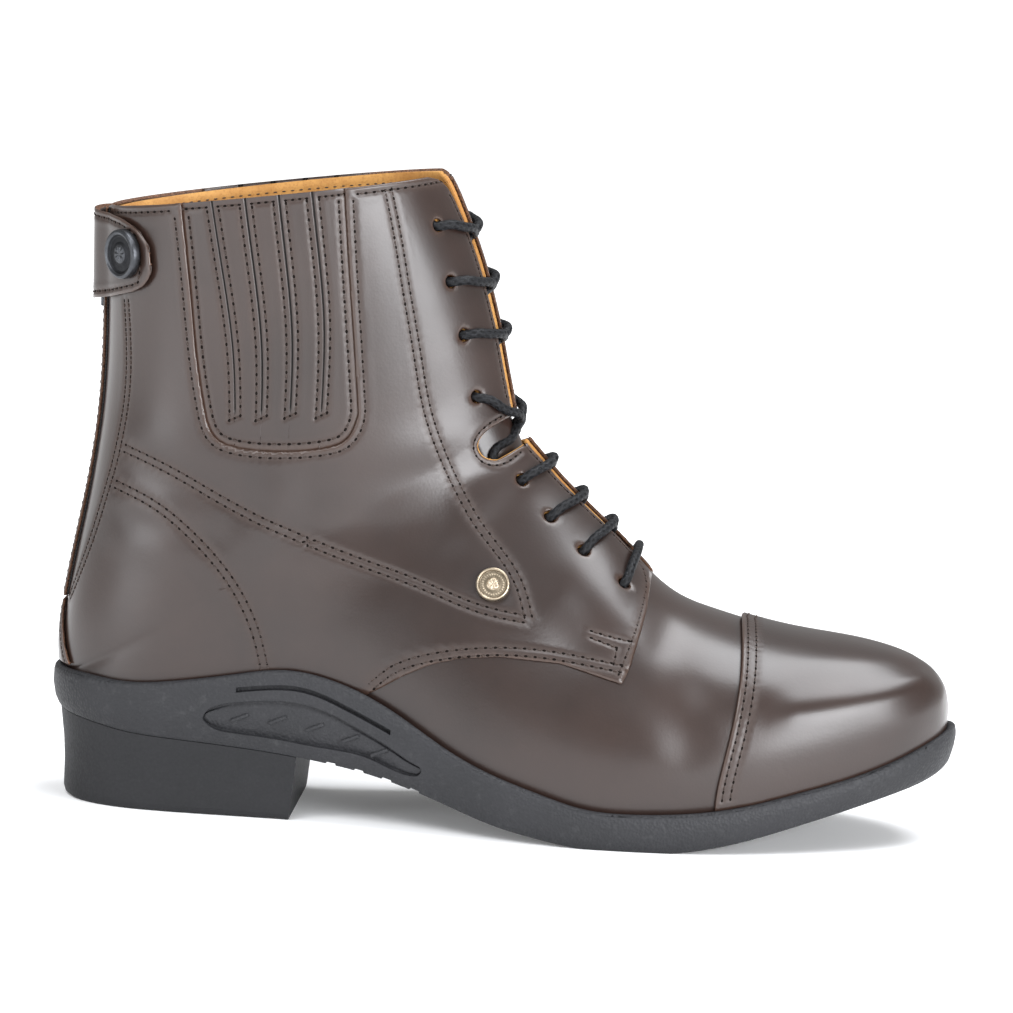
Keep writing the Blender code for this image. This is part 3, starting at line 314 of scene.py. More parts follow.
    def nearest(self, side, goals, axes=(0, 2), behind=False):  # seen along the axis that is left out
        goals = np.asarray(goals, float).reshape(-1, 2)
        axes, blind = list(axes), ({0, 1, 2} - set(axes)).pop()
        skip, rounds = 4, 8
        coarse = self.points[side][::skip, ::skip]
        flat = coarse.reshape(-1, 3)
        hidden = np.where(behind & (flat[:, 0] > boot["ankleMiddle"]), 1e6, 0.0)
        found = np.array([np.argmin(((flat[:, axes] - goal) ** 2).sum(axis=1) + hidden) for goal in goals])
        i, j = np.unravel_index(found, coarse.shape[:2])
        section, share = self.sections[::skip][i], self.shares[::skip][j]
        for _ in range(rounds):
            point, outward = self.look(side, section, share)
            miss = np.zeros_like(point)
            miss[:, axes] = goals - point[:, axes]
            slope = np.where(np.abs(outward[:, blind]) > 0.05, outward[:, blind], np.inf)
            miss[:, blind] = -(miss * outward).sum(axis=1) / slope
            section, share = self.shift(side, section, share, miss)
            section, share = np.clip(section, 0, boot["collar"]), np.clip(share, 0, 1)
        return np.stack([section, share], axis=1)


last = Last()
print("last is laid out")


def photoTree():  # the lateral leather as the photograph's rays meet it
    step = 4
    rows, columns = np.arange(0, len(last.sections), step), np.arange(0, last.along, step)
    points = last.points["lateral"] + last.outward["lateral"] * boot["quarterLevel"]
    points = points[np.ix_(rows, columns)]
    count = len(columns)
    faces = [(i * count + j, (i + 1) * count + j, (i + 1) * count + j + 1, i * count + j + 1)
             for i in range(len(rows) - 1) for j in range(count - 1)]
    return BVHTree.FromPolygons(points.reshape(-1, 3).tolist(), faces)


leatherTree = photoTree()


def fromPhoto(pixels):  # sections and shares of the lateral leather under pixels of the photograph
    eye = Vector(cameraEye)
    hits = [leatherTree.ray_cast(eye, Vector(photoRay(pixel)).normalized())[0] for pixel in pixels]
    return last.nearest("lateral", [(hit.x, hit.z) for hit in hits if hit])


def outlineDistance(outline):  # signed distance to a closed outline in x and z, with its direction
    outline = np.asarray(outline, float)
    ahead = np.roll(outline, -1, axis=0) - outline

    def at(points):
        flat = points[:, [0, 2]]
        toward = flat[:, None, :] - outline[None]
        share = np.clip((toward * ahead).sum(2) / (ahead ** 2).sum(1), 0, 1)
        gap = toward - share[..., None] * ahead
        size = np.linalg.norm(gap, axis=2)
        k = size.argmin(axis=1)
        pick = np.arange(len(flat))
        low, high = outline[:, 1], np.roll(outline, -1, axis=0)[:, 1]
        crosses = (low > flat[:, 1:]) != (high > flat[:, 1:])
        reach = outline[:, 0] + (flat[:, 1:] - low) / np.where(high == low, 1e-9, high - low) * ahead[:, 0]
        inside = (crosses & (flat[:, :1] < reach)).sum(axis=1) % 2 == 1
        sign = np.where(inside, -1.0, 1.0)
        way = gap[pick, k] / np.maximum(size[pick, k], 1e-9)[:, None] * sign[:, None]
        return size[pick, k] * sign, np.stack([way[:, 0], np.zeros(len(way)), way[:, 1]], axis=1)

    return at


quarterArea = np.array(quarterEdge + ((-200.0, 38.0), (-200.0, 260.0), (46.0, 260.0)))


def leatherShare(side, section, across):  # across runs from the throat's edge to the bottom
    opening = last.opening(side, section)
    return opening + (1 - opening) * across


def quarterStarts(side, acrosses):  # sections where the quarters begin
    area = outlineDistance(quarterArea)
    step = 0.02
    sections = np.arange(boot["throat"] - 0.6, boot["heelSection"], step)
    starts = []
    for across in acrosses:
        away, _ = area(last.at(side, sections, leatherShare(side, sections, across)))
        first = int(np.argmax(away < 0)) if (away < 0).any() else len(sections) - 1
        before = max(first - 1, 0)
        span = away[before] - away[first]
        starts.append(sections[before] + (away[before] / span * step if span > 0 else 0.0))
    return np.array(starts)


def cornerAcross():
    goal = np.array(quarterEdge[quarterCorner])
    acrosses, sections = np.linspace(0.2, 0.9, 141), np.arange(6.5, 8.6, 0.02)
    best = []
    for across in acrosses:
        points = last.at("lateral", sections, leatherShare("lateral", sections, across))[:, [0, 2]]
        best.append(np.linalg.norm(points - goal, axis=1).min())
    return float(acrosses[int(np.argmin(best))])


corner = cornerAcross()
startAcross = np.unique(np.concatenate([np.linspace(0, corner, 60), np.linspace(corner, 1, 60)]))
leastStart = np.where(startAcross == 0, boot["throat"], 0)
startTable = {side: np.maximum(quarterStarts(side, startAcross), leastStart) for side in towards}


def quarterStart(side, across):
    return np.interp(across, startAcross, startTable[side])


# edge of the toe cap from the side: z, x
capEdge = ((17.0, 69.0), (28.3, 71.2), (38.0, 73.2), (50.7, 74.7), (63.4, 74.6), (72.0, 72.6))


def turnedOut(distance):  # what lies outside counts as inside
    def at(points):
        away, way = distance(points)
        return -away, -way

    return at


def capEnds(side, shares):
    sections = np.arange(5.0, 7.0, 0.01)
    ends = []
    for share in shares:
        points = last.at(side, sections, share)
        over = points[:, 0] < np.interp(points[:, 2], rowColumn(capEdge, 0), rowColumn(capEdge, 1))
        ends.append(sections[int(np.argmax(over))])
    smooth = np.polynomial.Polynomial.fit(shares, ends, 5)
    return smooth(shares)


capShares = np.linspace(0, 1, 61)
capTable = {side: capEnds(side, capShares) for side in towards}


def capEnd(side, share):
    return np.interp(share, capShares, capTable[side])


print("panels are set out")

# materials


class Wire:  # a node's output that can be used in sums
    def __init__(self, finish, socket):
        self.finish, self.socket = finish, socket

    def sum(self, operation, first, second):
        return self.finish.node("ShaderNodeMath", {"operation": operation}, {0: first, 1: second})

    def __add__(self, other):
        return self.sum("ADD", self, other)

    def __radd__(self, other):
        return self.sum("ADD", other, self)

    def __sub__(self, other):
        return self.sum("SUBTRACT", self, other)

    def __rsub__(self, other):
        return self.sum("SUBTRACT", other, self)

    def __mul__(self, other):
        return self.sum("MULTIPLY", self, other)

    def __rmul__(self, other):
        return self.sum("MULTIPLY", other, self)


class Finish:  # one material and its nodes
    def __init__(self, name, constants):
        self.material = bpy.data.materials.new(name)
        self.material.use_nodes = True
        self.tree = self.material.node_tree
        self.shader = self.tree.nodes["Principled BSDF"]
        for socket, value in constants.items():
            self.shader.inputs[socket].default_value = value

    def node(self, kind, settings, sockets, output=0):
        made = self.tree.nodes.new(kind)
        for name, value in settings.items():
            setattr(made, name, value)
        for name, value in sockets.items():
            self.plug(made.inputs[name], value)
        return Wire(self, made.outputs[output])

    def plug(self, socket, value):
        if isinstance(value, Wire):
            self.tree.links.new(value.socket, socket)
        else:
            socket.default_value = value

    def feed(self, socket, value):
        self.plug(self.shader.inputs[socket], value)

    def place(self):
        return self.node("ShaderNodeTexCoord", {}, {}, "Object")

    def noise(self, scale, detail=3.0, rough=0.55):
        return self.node("ShaderNodeTexNoise", {}, {"Vector": self.place(), "Scale": scale, "Detail": detail,
                                                    "Roughness": rough})

    def cells(self, scale):
        return self.node("ShaderNodeTexVoronoi", {}, {"Vector": self.place(), "Scale": scale})

    def clouded(self, value, low, high, first, second):  # one colour passes into another
        return self.mix(self.band(value, low, high), first, second)

    def band(self, value, low, high):  # 0 below low, 1 above high
        return self.node("ShaderNodeMapRange", {"interpolation_type": "SMOOTHSTEP"},
                         {"Value": value, "From Min": low, "From Max": high})

    def mix(self, share, first, second):
        return self.node("ShaderNodeMix", {"data_type": "RGBA"}, {0: share, 6: first, 7: second}, 2)

    def mark(self, name):
        return self.node("ShaderNodeAttribute", {"attribute_name": name}, {}, "Fac")

    def bump(self, height, strength, distance):
        self.feed("Normal", self.node("ShaderNodeBump", {}, {"Strength": strength, "Distance": distance,
                                                             "Height": height}))


def rgb(*linear):
    return (*linear, 1.0)


# the near-black colour for the sunk slits of the gussets is painted shade
leatherLook = {"dark": rgb(0.0135, 0.0068, 0.005), "base": rgb(0.024, 0.0128, 0.0096),
               "pulled": rgb(0.08, 0.046, 0.032), "slitShade": rgb(0.001, 0.0008, 0.0006),
               "roughness": 0.27, "coat": 0.12}


def makeLeather():
    finish = Finish("polishedLeather", {"Specular IOR Level": 0.55, "Coat Roughness": 0.18, "Coat IOR": 1.45})
    look = leatherLook
    colour = finish.clouded(finish.noise(16.0, 5.0, 0.6), 0.3, 0.72, look["dark"], look["base"])
    seam, rim, sunk = finish.mark("seam"), finish.mark("rim"), finish.mark("sunk")
    fine = finish.noise(900.0, 3.0)
    colour = finish.mix(seam * (0.05 + 0.25 * fine), colour, look["pulled"])
    colour = finish.mix(rim * (0.2 + 0.5 * fine), colour, look["pulled"])
    # painted shade: the sunk mark turns the gussets' slits near black
    finish.feed("Base Color", finish.mix(sunk, colour, look["slitShade"]))
    pores = finish.cells(1150.0)
    finish.feed("Roughness", look["roughness"] + 0.10 * finish.noise(55.0, 4.0) + 0.16 * seam + 0.7 * sunk)
    finish.feed("Coat Weight", look["coat"] * (1.0 - 0.7 * seam) * (1.0 - sunk))
    finish.bump(0.6 * pores + 0.5 * fine + 0.9 * finish.noise(260.0, 2.0), 0.16, 0.00012)
    return finish.material


def makeRawEdge():
    finish = Finish("cutEdge", {"Specular IOR Level": 0.25})
    fibre = finish.noise(1500.0, 4.0)
    colour = finish.clouded(fibre, 0.3, 0.7, rgb(0.045, 0.022, 0.013), rgb(0.17, 0.085, 0.05))
    finish.feed("Base Color", colour)
    finish.feed("Roughness", 0.72 + 0.15 * fibre)
    finish.bump(fibre, 0.5, 0.0003)
    return finish.material


def makeLining():
    finish = Finish("tanLining", {"Specular IOR Level": 0.3})
    cloud, fibre = finish.noise(45.0, 5.0, 0.65), finish.noise(1300.0, 4.0)
    colour = finish.clouded(cloud, 0.3, 0.7, rgb(0.33, 0.15, 0.036), rgb(0.5, 0.265, 0.075))
    finish.feed("Base Color", finish.mix(0.45 * finish.band(fibre, 0.45, 0.7), colour, rgb(0.24, 0.1, 0.025)))
    finish.feed("Roughness", 0.62 + 0.2 * fibre)
    finish.bump(fibre + 0.5 * cloud, 0.3, 0.0002)
    return finish.material


def makeRubber(name, grain, roughness, tone):
    finish = Finish(name, {"Specular IOR Level": 0.3})
    cells, cloud = finish.cells(1050.0), finish.noise(30.0, 4.0)
    wear = finish.band(finish.noise(420.0, 4.0, 0.65), 0.52, 0.78)
    dark, base, worn = (rgb(*(tone * part for part in parts))
                        for parts in ((0.8, 0.81, 0.9), (1.0, 1.0, 1.12), (2.6, 2.6, 2.7)))
    colour = finish.clouded(cloud, 0.3, 0.7, dark, base)
    finish.feed("Base Color", finish.mix(0.35 * wear * grain, colour, worn))
    finish.feed("Roughness", roughness + 0.14 * cells + 0.06 * cloud)
    finish.bump(cells + 0.4 * finish.noise(800.0, 3.0), 0.55 * grain, 0.00035)
    return finish.material


def makeThread():
    finish = Finish("waxedThread", {"Specular IOR Level": 0.4})
    twist = finish.noise(1400.0, 2.0)
    finish.feed("Base Color", finish.mix(twist, rgb(0.012, 0.007, 0.005), rgb(0.05, 0.03, 0.022)))
    finish.feed("Roughness", 0.5 + 0.2 * twist)
    finish.bump(twist, 0.4, 0.0001)
    return finish.material


# the needle holes get near-black beads: painted shade in the holes
def makeNeedleHoleShade():
    finish = Finish("needleHoleShade", {"Roughness": 0.9, "Specular IOR Level": 0.1})
    fibre = finish.noise(900.0, 2.0)
    finish.feed("Base Color", finish.mix(fibre, rgb(0.002, 0.0015, 0.001), rgb(0.008, 0.005, 0.004)))
    return finish.material


def makeLaceBraid():
    finish = Finish("waxedBraid", {"Specular IOR Level": 0.14})
    strand, fibre = finish.mark("strand"), finish.noise(2600.0, 3.0)
    # the braid is darker where it lies low between its strands and lighter on their crowns: painted shade and
    # painted highlight
    colour = finish.clouded(strand, 0.25, 0.9, rgb(0.0015, 0.0015, 0.0018), rgb(0.009, 0.0095, 0.011))
    # lighter grey specks on the black braid: painted sheen
    sheenSpecks = 0.45 * finish.band(fibre, 0.55, 0.72)
    finish.feed("Base Color", finish.mix(sheenSpecks, colour, rgb(0.08, 0.082, 0.088)))
    finish.feed("Roughness", 0.36 + 0.3 * fibre)
    finish.bump(fibre, 0.3, 0.0002)
    return finish.material


def makeMetal(name, bright, dark, roughness):
    finish = Finish(name, {"Metallic": 1.0})
    tarnish, sunk = finish.noise(320.0, 4.0, 0.6), finish.mark("sunk")
    colour = finish.clouded(tarnish, 0.35, 0.75, bright, finish.mix(0.4, bright, dark))
    # the sunk mark darkens the metal: painted shade in the sunk ring of the buttons
    finish.feed("Base Color", finish.mix(sunk, colour, dark))
    finish.feed("Roughness", roughness + 0.18 * tarnish + 0.2 * sunk)
    finish.bump(tarnish, 0.12, 0.0002)
    return finish.material


def makeTape():
    finish = Finish("wovenTape", {"Specular IOR Level": 0.25, "Sheen Weight": 0.3})
    weave = finish.node("ShaderNodeTexWave", {"bands_direction": "Z"},
                        {"Vector": finish.place(), "Scale": 320.0, "Distortion": 1.0})
    finish.feed("Base Color", finish.mix(weave, rgb(0.006, 0.006, 0.007), rgb(0.03, 0.029, 0.03)))
    finish.feed("Roughness", 0.75 + 0.15 * weave)
    finish.bump(weave, 0.5, 0.0002)
    return finish.material


leather, cutEdge, lining = makeLeather(), makeRawEdge(), makeLining()
soleRubber = makeRubber("grainedRubber", 1.0, 0.46, 0.02)
heelRubber = makeRubber("smoothRubber", 0.35, 0.52, 0.013)
thread, needleHoleShade, braid, tape = makeThread(), makeNeedleHoleShade(), makeLaceBraid(), makeTape()
pewter = makeMetal("agedPewter", rgb(0.42, 0.35, 0.26), rgb(0.06, 0.048, 0.032), 0.3)
gunmetal = makeMetal("blackGunmetal", rgb(0.075, 0.078, 0.085), rgb(0.012, 0.012, 0.013), 0.3)
print("materials are mixed")

# pieces and their helpers


def finishPiece(name, bm, materials, replaced=(), marks=None, sharp=None):
    bmesh.ops.scale(bm, verts=bm.verts, vec=(mm, mm, mm))
    mesh = bpy.data.meshes.new(name)
    bm.to_mesh(mesh)
    bm.free()
    mesh.shade_smooth()
    if sharp:
        mesh.set_sharp_from_angle(angle=math.radians(sharp))
    for mark, values in (marks or {}).items():
        mesh.attributes.new(mark, "FLOAT", "POINT").data.foreach_set("value", np.asarray(values, np.float32))
    for material in materials:
        mesh.materials.append(material)
    piece = bpy.data.objects.new(name, mesh)
    bpy.context.scene.collection.objects.link(piece)
    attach(piece, "root")
    if replaced:
        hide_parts(*replaced)
    return piece


def moveTo(bm, points):
    for vert, point in zip(bm.verts, points):
        vert.co = point


def placesOf(bm):
    return np.array([v.co for v in bm.verts])


def shapedGrid(us, vs, place, middle=None):  # a grid at these values, with its faces away from the middle
    bm = bmesh.new()
    bmesh.ops.create_grid(bm, x_segments=len(us) - 1, y_segments=len(vs) - 1, size=0.5)
    flat = placesOf(bm)
    i = np.rint((flat[:, 0] + 0.5) * (len(us) - 1)).astype(int)
    j = np.rint((flat[:, 1] + 0.5) * (len(vs) - 1)).astype(int)
    moveTo(bm, place(np.asarray(us)[i], np.asarray(vs)[j]))
    if middle is not None:
        bm.normal_update()
        away = sum(f.normal.dot(f.calc_center_median() - Vector(middle)) for f in bm.faces)
        if away < 0:
            bmesh.ops.reverse_faces(bm, faces=bm.faces)
    return bm


def closeUp(bm, distance=0.01):  # joins seams and poles and turns the faces outward
    bmesh.ops.remove_doubles(bm, verts=bm.verts, dist=distance)
    bmesh.ops.recalc_face_normals(bm, faces=bm.faces)


def addWall(piece, thickness, rimMaterial=0):
    wall = piece.modifiers.new("wall", "SOLIDIFY")
    wall.thickness, wall.offset = thickness * mm, -1.0
    wall.material_offset_rim = rimMaterial


def edgeSlide(bm, distance):  # points, their distance to an edge and their ways off it along the sheet
    bm.normal_update()
    points, normals = placesOf(bm), np.array([v.normal for v in bm.verts])
    away, way = distance(points)
    slide = way - normals * (way * normals).sum(1, keepdims=True)
    return points, away, slide / np.maximum((slide * way).sum(1, keepdims=True), 0.2)


def cutFiner(bm, verts, least):  # halves the longer edges between these points
    edges = [e for e in bm.edges if e.verts[0] in verts and e.verts[1] in verts and e.calc_length() > least]
    bmesh.ops.subdivide_edges(bm, edges=edges, cuts=1, use_grid_fill=True)


def cutOut(bm, distance, cell=1.1, passes=1):  # removes what lies inside a clean edge
    for _ in range(passes):
        away, _ = distance(placesOf(bm))
        cutFiner(bm, {v for v, a in zip(bm.verts, away) if abs(a) < 1.3 * cell}, 0.45 * cell)
        cell /= 2
    points, away, slide = edgeSlide(bm, distance)
    # the nearest points are drawn onto the edge, and the lines that cross it are split there
    close = np.abs(away) < 0.3 * cell
    points[close] -= slide[close] * away[close, None]
    moveTo(bm, points)
    away[close] = 0.0
    height = dict(zip(bm.verts, away))
    onEdge = [v for v, a in height.items() if a == 0]
    for edge in bm.edges[:]:
        first, second = (height[v] for v in edge.verts)
        if first * second < 0:
            onEdge.append(bmesh.utils.edge_split(edge, edge.verts[0], first / (first - second))[1])
    bmesh.ops.connect_verts(bm, verts=onEdge)
    inside, _ = distance(np.array([f.calc_center_median() for f in bm.faces]))
    bmesh.ops.delete(bm, geom=[f for f, a in zip(bm.faces, inside) if a < 0], context="FACES")
    bmesh.ops.delete(bm, geom=[v for v in bm.verts if not v.link_faces], context="VERTS")
    points, away, slide = edgeSlide(bm, distance)
    over = (away < 0) & (away > -2.0)  # slivers left inside are drawn back to the edge
    points[over] -= slide[over] * away[over, None]
    moveTo(bm, points)
    bmesh.ops.remove_doubles(bm, verts=[v for v in bm.verts if v.is_boundary], dist=0.15)
    bmesh.ops.dissolve_degenerate(bm, dist=0.02, edges=bm.edges)


rimLook = {"width": 0.9, "drop": 0.4}  # rounding of cut edges


def softenRim(bm):
    width, drop = rimLook["width"], rimLook["drop"]
    bm.normal_update()
    tree = treeOf([v.co.copy() for v in bm.verts if v.is_boundary])
    away = [tree.find(v.co)[2] for v in bm.verts]
    for vert, distance in zip(bm.verts, away):
        if distance < width:
            vert.co -= vert.normal * drop * (1 - distance / width) ** 2
    return np.exp(-(np.array(away) / width) ** 2)


def ringDistance(centre, outward, radius):
    def at(points):
        gap = points - centre
        height = gap @ outward
        gap = gap - outward * height[:, None]
        away = np.linalg.norm(gap, axis=1) - radius
        return np.where(np.abs(height) > 8.0, 50.0, away), unit(gap)  # what lies behind counts as far away

    return at


def treeOf(points):
    tree = KDTree(len(points))
    for n, place in enumerate(points):
        tree.insert(place, n)
    tree.balance()
    return tree


def bothSides(place):  # v runs from -1 on the lateral edge to 1 on the medial edge
    def at(u, v):
        found = np.empty((len(u), 3))
        for side in towards:
            pick = v <= 0 if side == "lateral" else v > 0
            found[pick] = place(side, u[pick], np.abs(v[pick]))
        return found

    return at


def fineEnds(count, ends=(0.0015, 0.004, 0.009)):  # even steps, closer at both ends
    return np.unique(np.concatenate([np.linspace(0, 1, count), ends, 1 - np.array(ends)]))


# soft creases, from the side: x and z of both ends, depth, width
creases = (
    (-60.0, 104.0, -14.0, 110.0, 0.55, 7.0), (-66.0, 93.0, -20.0, 96.0, 0.45, 6.0),
    (-112.0, 106.0, -84.0, 98.0, 0.5, 7.0), (-116.0, 92.0, -90.0, 88.0, 0.35, 5.0),
    (18.0, 74.0, 34.0, 62.0, 0.4, 6.0), (52.0, 60.0, 60.0, 34.0, 0.5, 7.0))


def creaseDepth(points):
    depth = np.zeros(len(points))
    for x0, z0, x1, z1, deep, wide in creases:
        ahead = np.array((x1 - x0, z1 - z0))
        toward = points[:, [0, 2]] - (x0, z0)
        share = np.clip(toward @ ahead / (ahead @ ahead), 0, 1)
        away = np.linalg.norm(toward - share[:, None] * ahead, axis=1)
        depth += deep * np.exp(-(away / wide) ** 2) - 0.5 * deep * np.exp(-((away - 1.7 * wide) / wide) ** 2)
    return depth


# seams: each line is read off the photograph and laid on the leather of both sides

seamPixels = {
    "eyestay": ((387, 190), (395, 229), (405, 289), (416, 353), (427, 413), (441, 454), (455, 484),
                (478, 526), (501, 556), (519, 586), (528, 618)),
    "middle": ((127, 449), (178, 475), (224, 502), (292, 535), (361, 563), (432, 590), (478, 609),
               (524, 620)),
    "counter": ((118, 485), (155, 505), (189, 533), (224, 572), (247, 611), (258, 641), (265, 672)),
    "backStrip": ((128, 301), (130, 370), (126, 415), (117, 461), (106, 500), (94, 537), (72, 597)),
    "lowerEdge": ((372, 686), (390, 672), (424, 659.5), (466, 653.5), (512, 652.5), (558, 657.5),
                  (599, 665.5), (620, 670)),
    "frontEdge": ((641, 573), (644, 585), (642, 602), (638, 619), (629, 648), (618, 676)),
    "barTack": ((591, 632), (610, 638), (628, 643)),
    "lowBarTack": ((591, 639), (604, 644), (616, 649)),
    "boxTack": ((616, 651), (615, 658), (613, 666)),
}
doubleSeams = ("eyestay", "middle", "counter", "backStrip", "lowerEdge")
# hole and holeSink give the size and depth of the dark beads of painted shade at the needle holes
stitch = {"pitch": 3.0, "close": 2.8, "gap": 2.3, "size": (1.5, 0.55, 0.5), "hole": (1.35, 0.85, 0.3),
          "sink": 0.05, "holeSink": 0.22, "edge": 1.7, "liningDepth": 1.95}
stitchPlaces, holePlaces, grooves = [], [], []
quarterLevel = boot["quarterLevel"]


def smoothLine(points, step=0.4):
    points = np.asarray(points, float)
    for _ in range(2):
        walked = walkAlong(points)
        points = curveThrough(walked, points)(np.linspace(0, walked[-1], max(int(walked[-1] / step), 2) + 1))
    return points


def sewPath(points, outward, pitch=stitch["pitch"]):  # stitches, needle holes that get beads of painted shade, and the groove they lie in
    walked = walkAlong(points)
    count = max(int(round(walked[-1] / pitch)), 1)
    stops = np.linspace(0, walked[-1], count + 1)
    at, facing = curveThrough(walked, points), curveThrough(walked, outward)
    for places, spots in ((stitchPlaces, (stops[:-1] + stops[1:]) / 2), (holePlaces, stops)):
        for spot in spots:
            ahead = at(min(spot + 0.5, walked[-1])) - at(max(spot - 0.5, 0.0))
            places.append((at(spot), ahead, facing(spot)))
    dense = np.linspace(0, walked[-1], int(walked[-1] / 0.5) + 2)
    wave = np.cos(dense / stops[1] * 2 * math.pi)
    grooves.append(np.column_stack([at(dense), wave]))


def sewLine(side, places, level, offset=0.0, pitch=stitch["pitch"]):  # places hold sections and shares
    section, share = places[:, 0], places[:, 1]
    if offset:
        points, outward = last.look(side, section, share)
        along = unit(np.gradient(points, axis=0))
        section, share = last.shift(side, section, share, np.cross(outward, along) * offset * towards[side])
    points, outward = last.look(side, section, share)
    crease = creaseDepth(points) if level == quarterLevel else np.zeros(len(points))
    sewPath(points + outward * (level - crease)[:, None], outward, pitch)


def throatRun(side, inset, first, final):  # beside the throat's edge
    section = np.linspace(first, final, 200)
    return np.stack([section, last.opening(side, section) + inset / last.lengthAt(side, section)], axis=1)


def collarRun(side, drop, first, final):  # below the collar
    share, top = np.linspace(first, final, 200), boot["collar"]
    halfStep = np.linalg.norm(last.at(side, top, share) - last.at(side, top - 0.5, share), axis=1)
    return np.stack([top - 0.5 * drop / halfStep, share], axis=1)


# notch in both facings at the bend of the ankle, from the side: x, z
notch = np.array(((12.0, 135.0), (-4.2, 127.0), (-8.8, 123.9), (-10.8, 120.0), (-8.7, 116.4), (-4.6, 115.4),
                  (14.0, 126.0)))
notchEdge = np.concatenate([notch[:1], smoothLine(notch[1:6], 0.8), notch[6:]])
notchSections = (13.2, 16.1)  # the facing's edge is open between these

# gusset from the side, from its back top corner round to its front top corner: x, z
gussetOutline = np.array((
    (-108.7, 215.0), (-101.1, 165.1), (-97.1, 137.2), (-94.5, 125.2), (-91.4, 119.6), (-83.4, 116.8),
    (-70.0, 116.6), (-57.9, 118.1), (-50.9, 121.0), (-47.3, 129.1), (-48.0, 136.9), (-50.8, 164.7),
    (-55.6, 215.0)))
gussetBack, gussetFoot, gussetFront = (smoothLine(gussetOutline[part], 2.0) for part in np.s_[:4, 3:10, 9:])
gussetEdge = np.concatenate([gussetBack[:-1], gussetFoot[:-1], gussetFront])
# slits and both sides of the gusset: x, z of the top and x, z of the foot
slits = ((-94.9, 193.0, -85.4, 127.0), (-84.5, 194.2, -77.2, 127.4),
         (-74.1, 195.6, -68.3, 128.6), (-64.0, 197.0, -58.7, 129.1))
gussetSides = ((-105.6, 194.6, -96.2, 128.0), (-53.9, 197.0, -47.3, 129.0))
gussetLook = {"level": 0.4, "edgeDrop": 0.5, "under": 1.6, "slitDepth": 0.75, "slitHalf": 0.25, "thick": 0.8,
              "stitchGap": 1.9}


def gussetLines(side):  # sections and shares of both ends of the back edge, the slits and the front edge
    under = np.array((1, 0, 1, 0)) * gussetLook["under"]
    ends = [gussetSides[0] - under, *slits, gussetSides[1] + under]
    tops = last.nearest(side, [(x, z) for x, z, _, _ in ends])
    feet = last.nearest(side, [(x, z) for _, _, x, z in ends])
    return tops, feet


gussetRuns = {side: gussetLines(side) for side in towards}


def slitShare(side, number, section):
    top, foot = (ends[number] for ends in gussetRuns[side])
    return foot[1] + (top[1] - foot[1]) * (section - foot[0]) / (top[0] - foot[0])


def offsetOutline(outline, distance):  # moved sideways, outward where positive
    along = np.gradient(outline, axis=0)
    return outline - unit(np.stack([-along[:, 1], along[:, 0]], axis=1)) * distance


def sewGusset(side):
    level, gap = gussetLook["level"], gussetLook["stitchGap"]
    below = gussetEdge[gussetEdge[:, 1] < 196.0]
    for distance, height in ((2.0, quarterLevel), (-2.2, level)):
        places = last.nearest(side, offsetOutline(below, distance)[::2])
        sewLine(side, places[places[:, 0] < boot["collar"] - 0.12], height, pitch=3.1)
    for number in range(1, len(slits) + 1):
        foot = gussetRuns[side][1][number][0]
        section = np.linspace(foot - 0.05, boot["collar"] - 0.2, 90)
        for offset in (-gap, gap):
            share = slitShare(side, number, section) + offset / last.lengthAt(side, section)
            sewLine(side, np.stack([section, share], axis=1), level, pitch=2.9)
        across = np.linspace(-gap, gap, 9) / last.lengthAt(side, foot)
        bar = np.stack([np.full(9, foot - 0.05), slitShare(side, number, foot) + across], axis=1)
        sewLine(side, bar, level, pitch=1.9)
    for number in range(len(slits) + 1):  # top of each strip
        ends = [slitShare(side, n, boot["collar"]) for n in (number, number + 1)]
        inset = gap / last.lengthAt(side, boot["collar"]) * (1 if ends[1] > ends[0] else -1)
        sewLine(side, collarRun(side, 1.9, ends[0] + inset, ends[1] - inset), level, pitch=2.2)


def sewAll():
    for seam, pixels in seamPixels.items():
        places = fromPhoto(smoothLine(pixels, 4.0))
        for side in towards:
            for offset in ((-0.5, 0.5) if seam in doubleSeams else (0.0,)):
                sewLine(side, places, quarterLevel, offset * stitch["gap"])
    edge, close = stitch["edge"], stitch["close"]
    roundNotch = offsetOutline(smoothLine([*notch[1:6], (0.6, 118.4)], 1.0), edge)
    for side in towards:
        for first, final in ((7.75, notchSections[0]), (notchSections[1], 22.3)):
            sewLine(side, throatRun(side, edge, first, final), quarterLevel, pitch=close)
        sewLine(side, last.nearest(side, roundNotch), quarterLevel, pitch=2.6)
        gussetTop = gussetRuns[side][0][:, 1]
        front, back = gussetTop[-1] - 0.012, gussetTop[0] + 0.012
        for first, final in ((last.opening(side, 22.7) + 0.01, front), (back, 0.9)):
            sewLine(side, collarRun(side, 2.2, first, final), quarterLevel, pitch=close)
        sewGusset(side)
        points, outward = last.look(side, *collarRun(side, 3.8, last.opening(side, 22.5) + 0.01, 0.9).T)
        sewPath(points - outward * stitch["liningDepth"], -outward, close)


sewAll()
print("seams are drawn")

# leather panels

eyelets = ((-26.8, 187.9), (-21.9, 170.7), (-17.1, 154.2), (-12.4, 135.0),
           (2.9, 109.2), (12.5, 98.4), (23.6, 88.6), (36.6, 79.2))  # x, z on the lateral facing
eyeletHole = 4.0


def eyeletPlaces():
    found = {"lateral": last.nearest("lateral", eyelets)}
    section, share = found["lateral"].T
    inset = (share - last.opening("lateral", section)) * last.lengthAt("lateral", section)
    medial = last.opening("medial", section) + inset / last.lengthAt("medial", section)
    found["medial"] = np.stack([section, medial], axis=1)
    return found


eyeletAt = eyeletPlaces()

# groove under a row of stitches, the swelling beside it, and where the sheet is divided more finely
seamGroove = {"depth": 0.3, "half": 0.75, "wave": 0.25, "swell": 0.07, "swellAt": 1.5, "swellHalf": 0.8,
              "rub": 1.2, "reach": 4.0, "fineReach": 2.0, "fineEdge": 0.7}


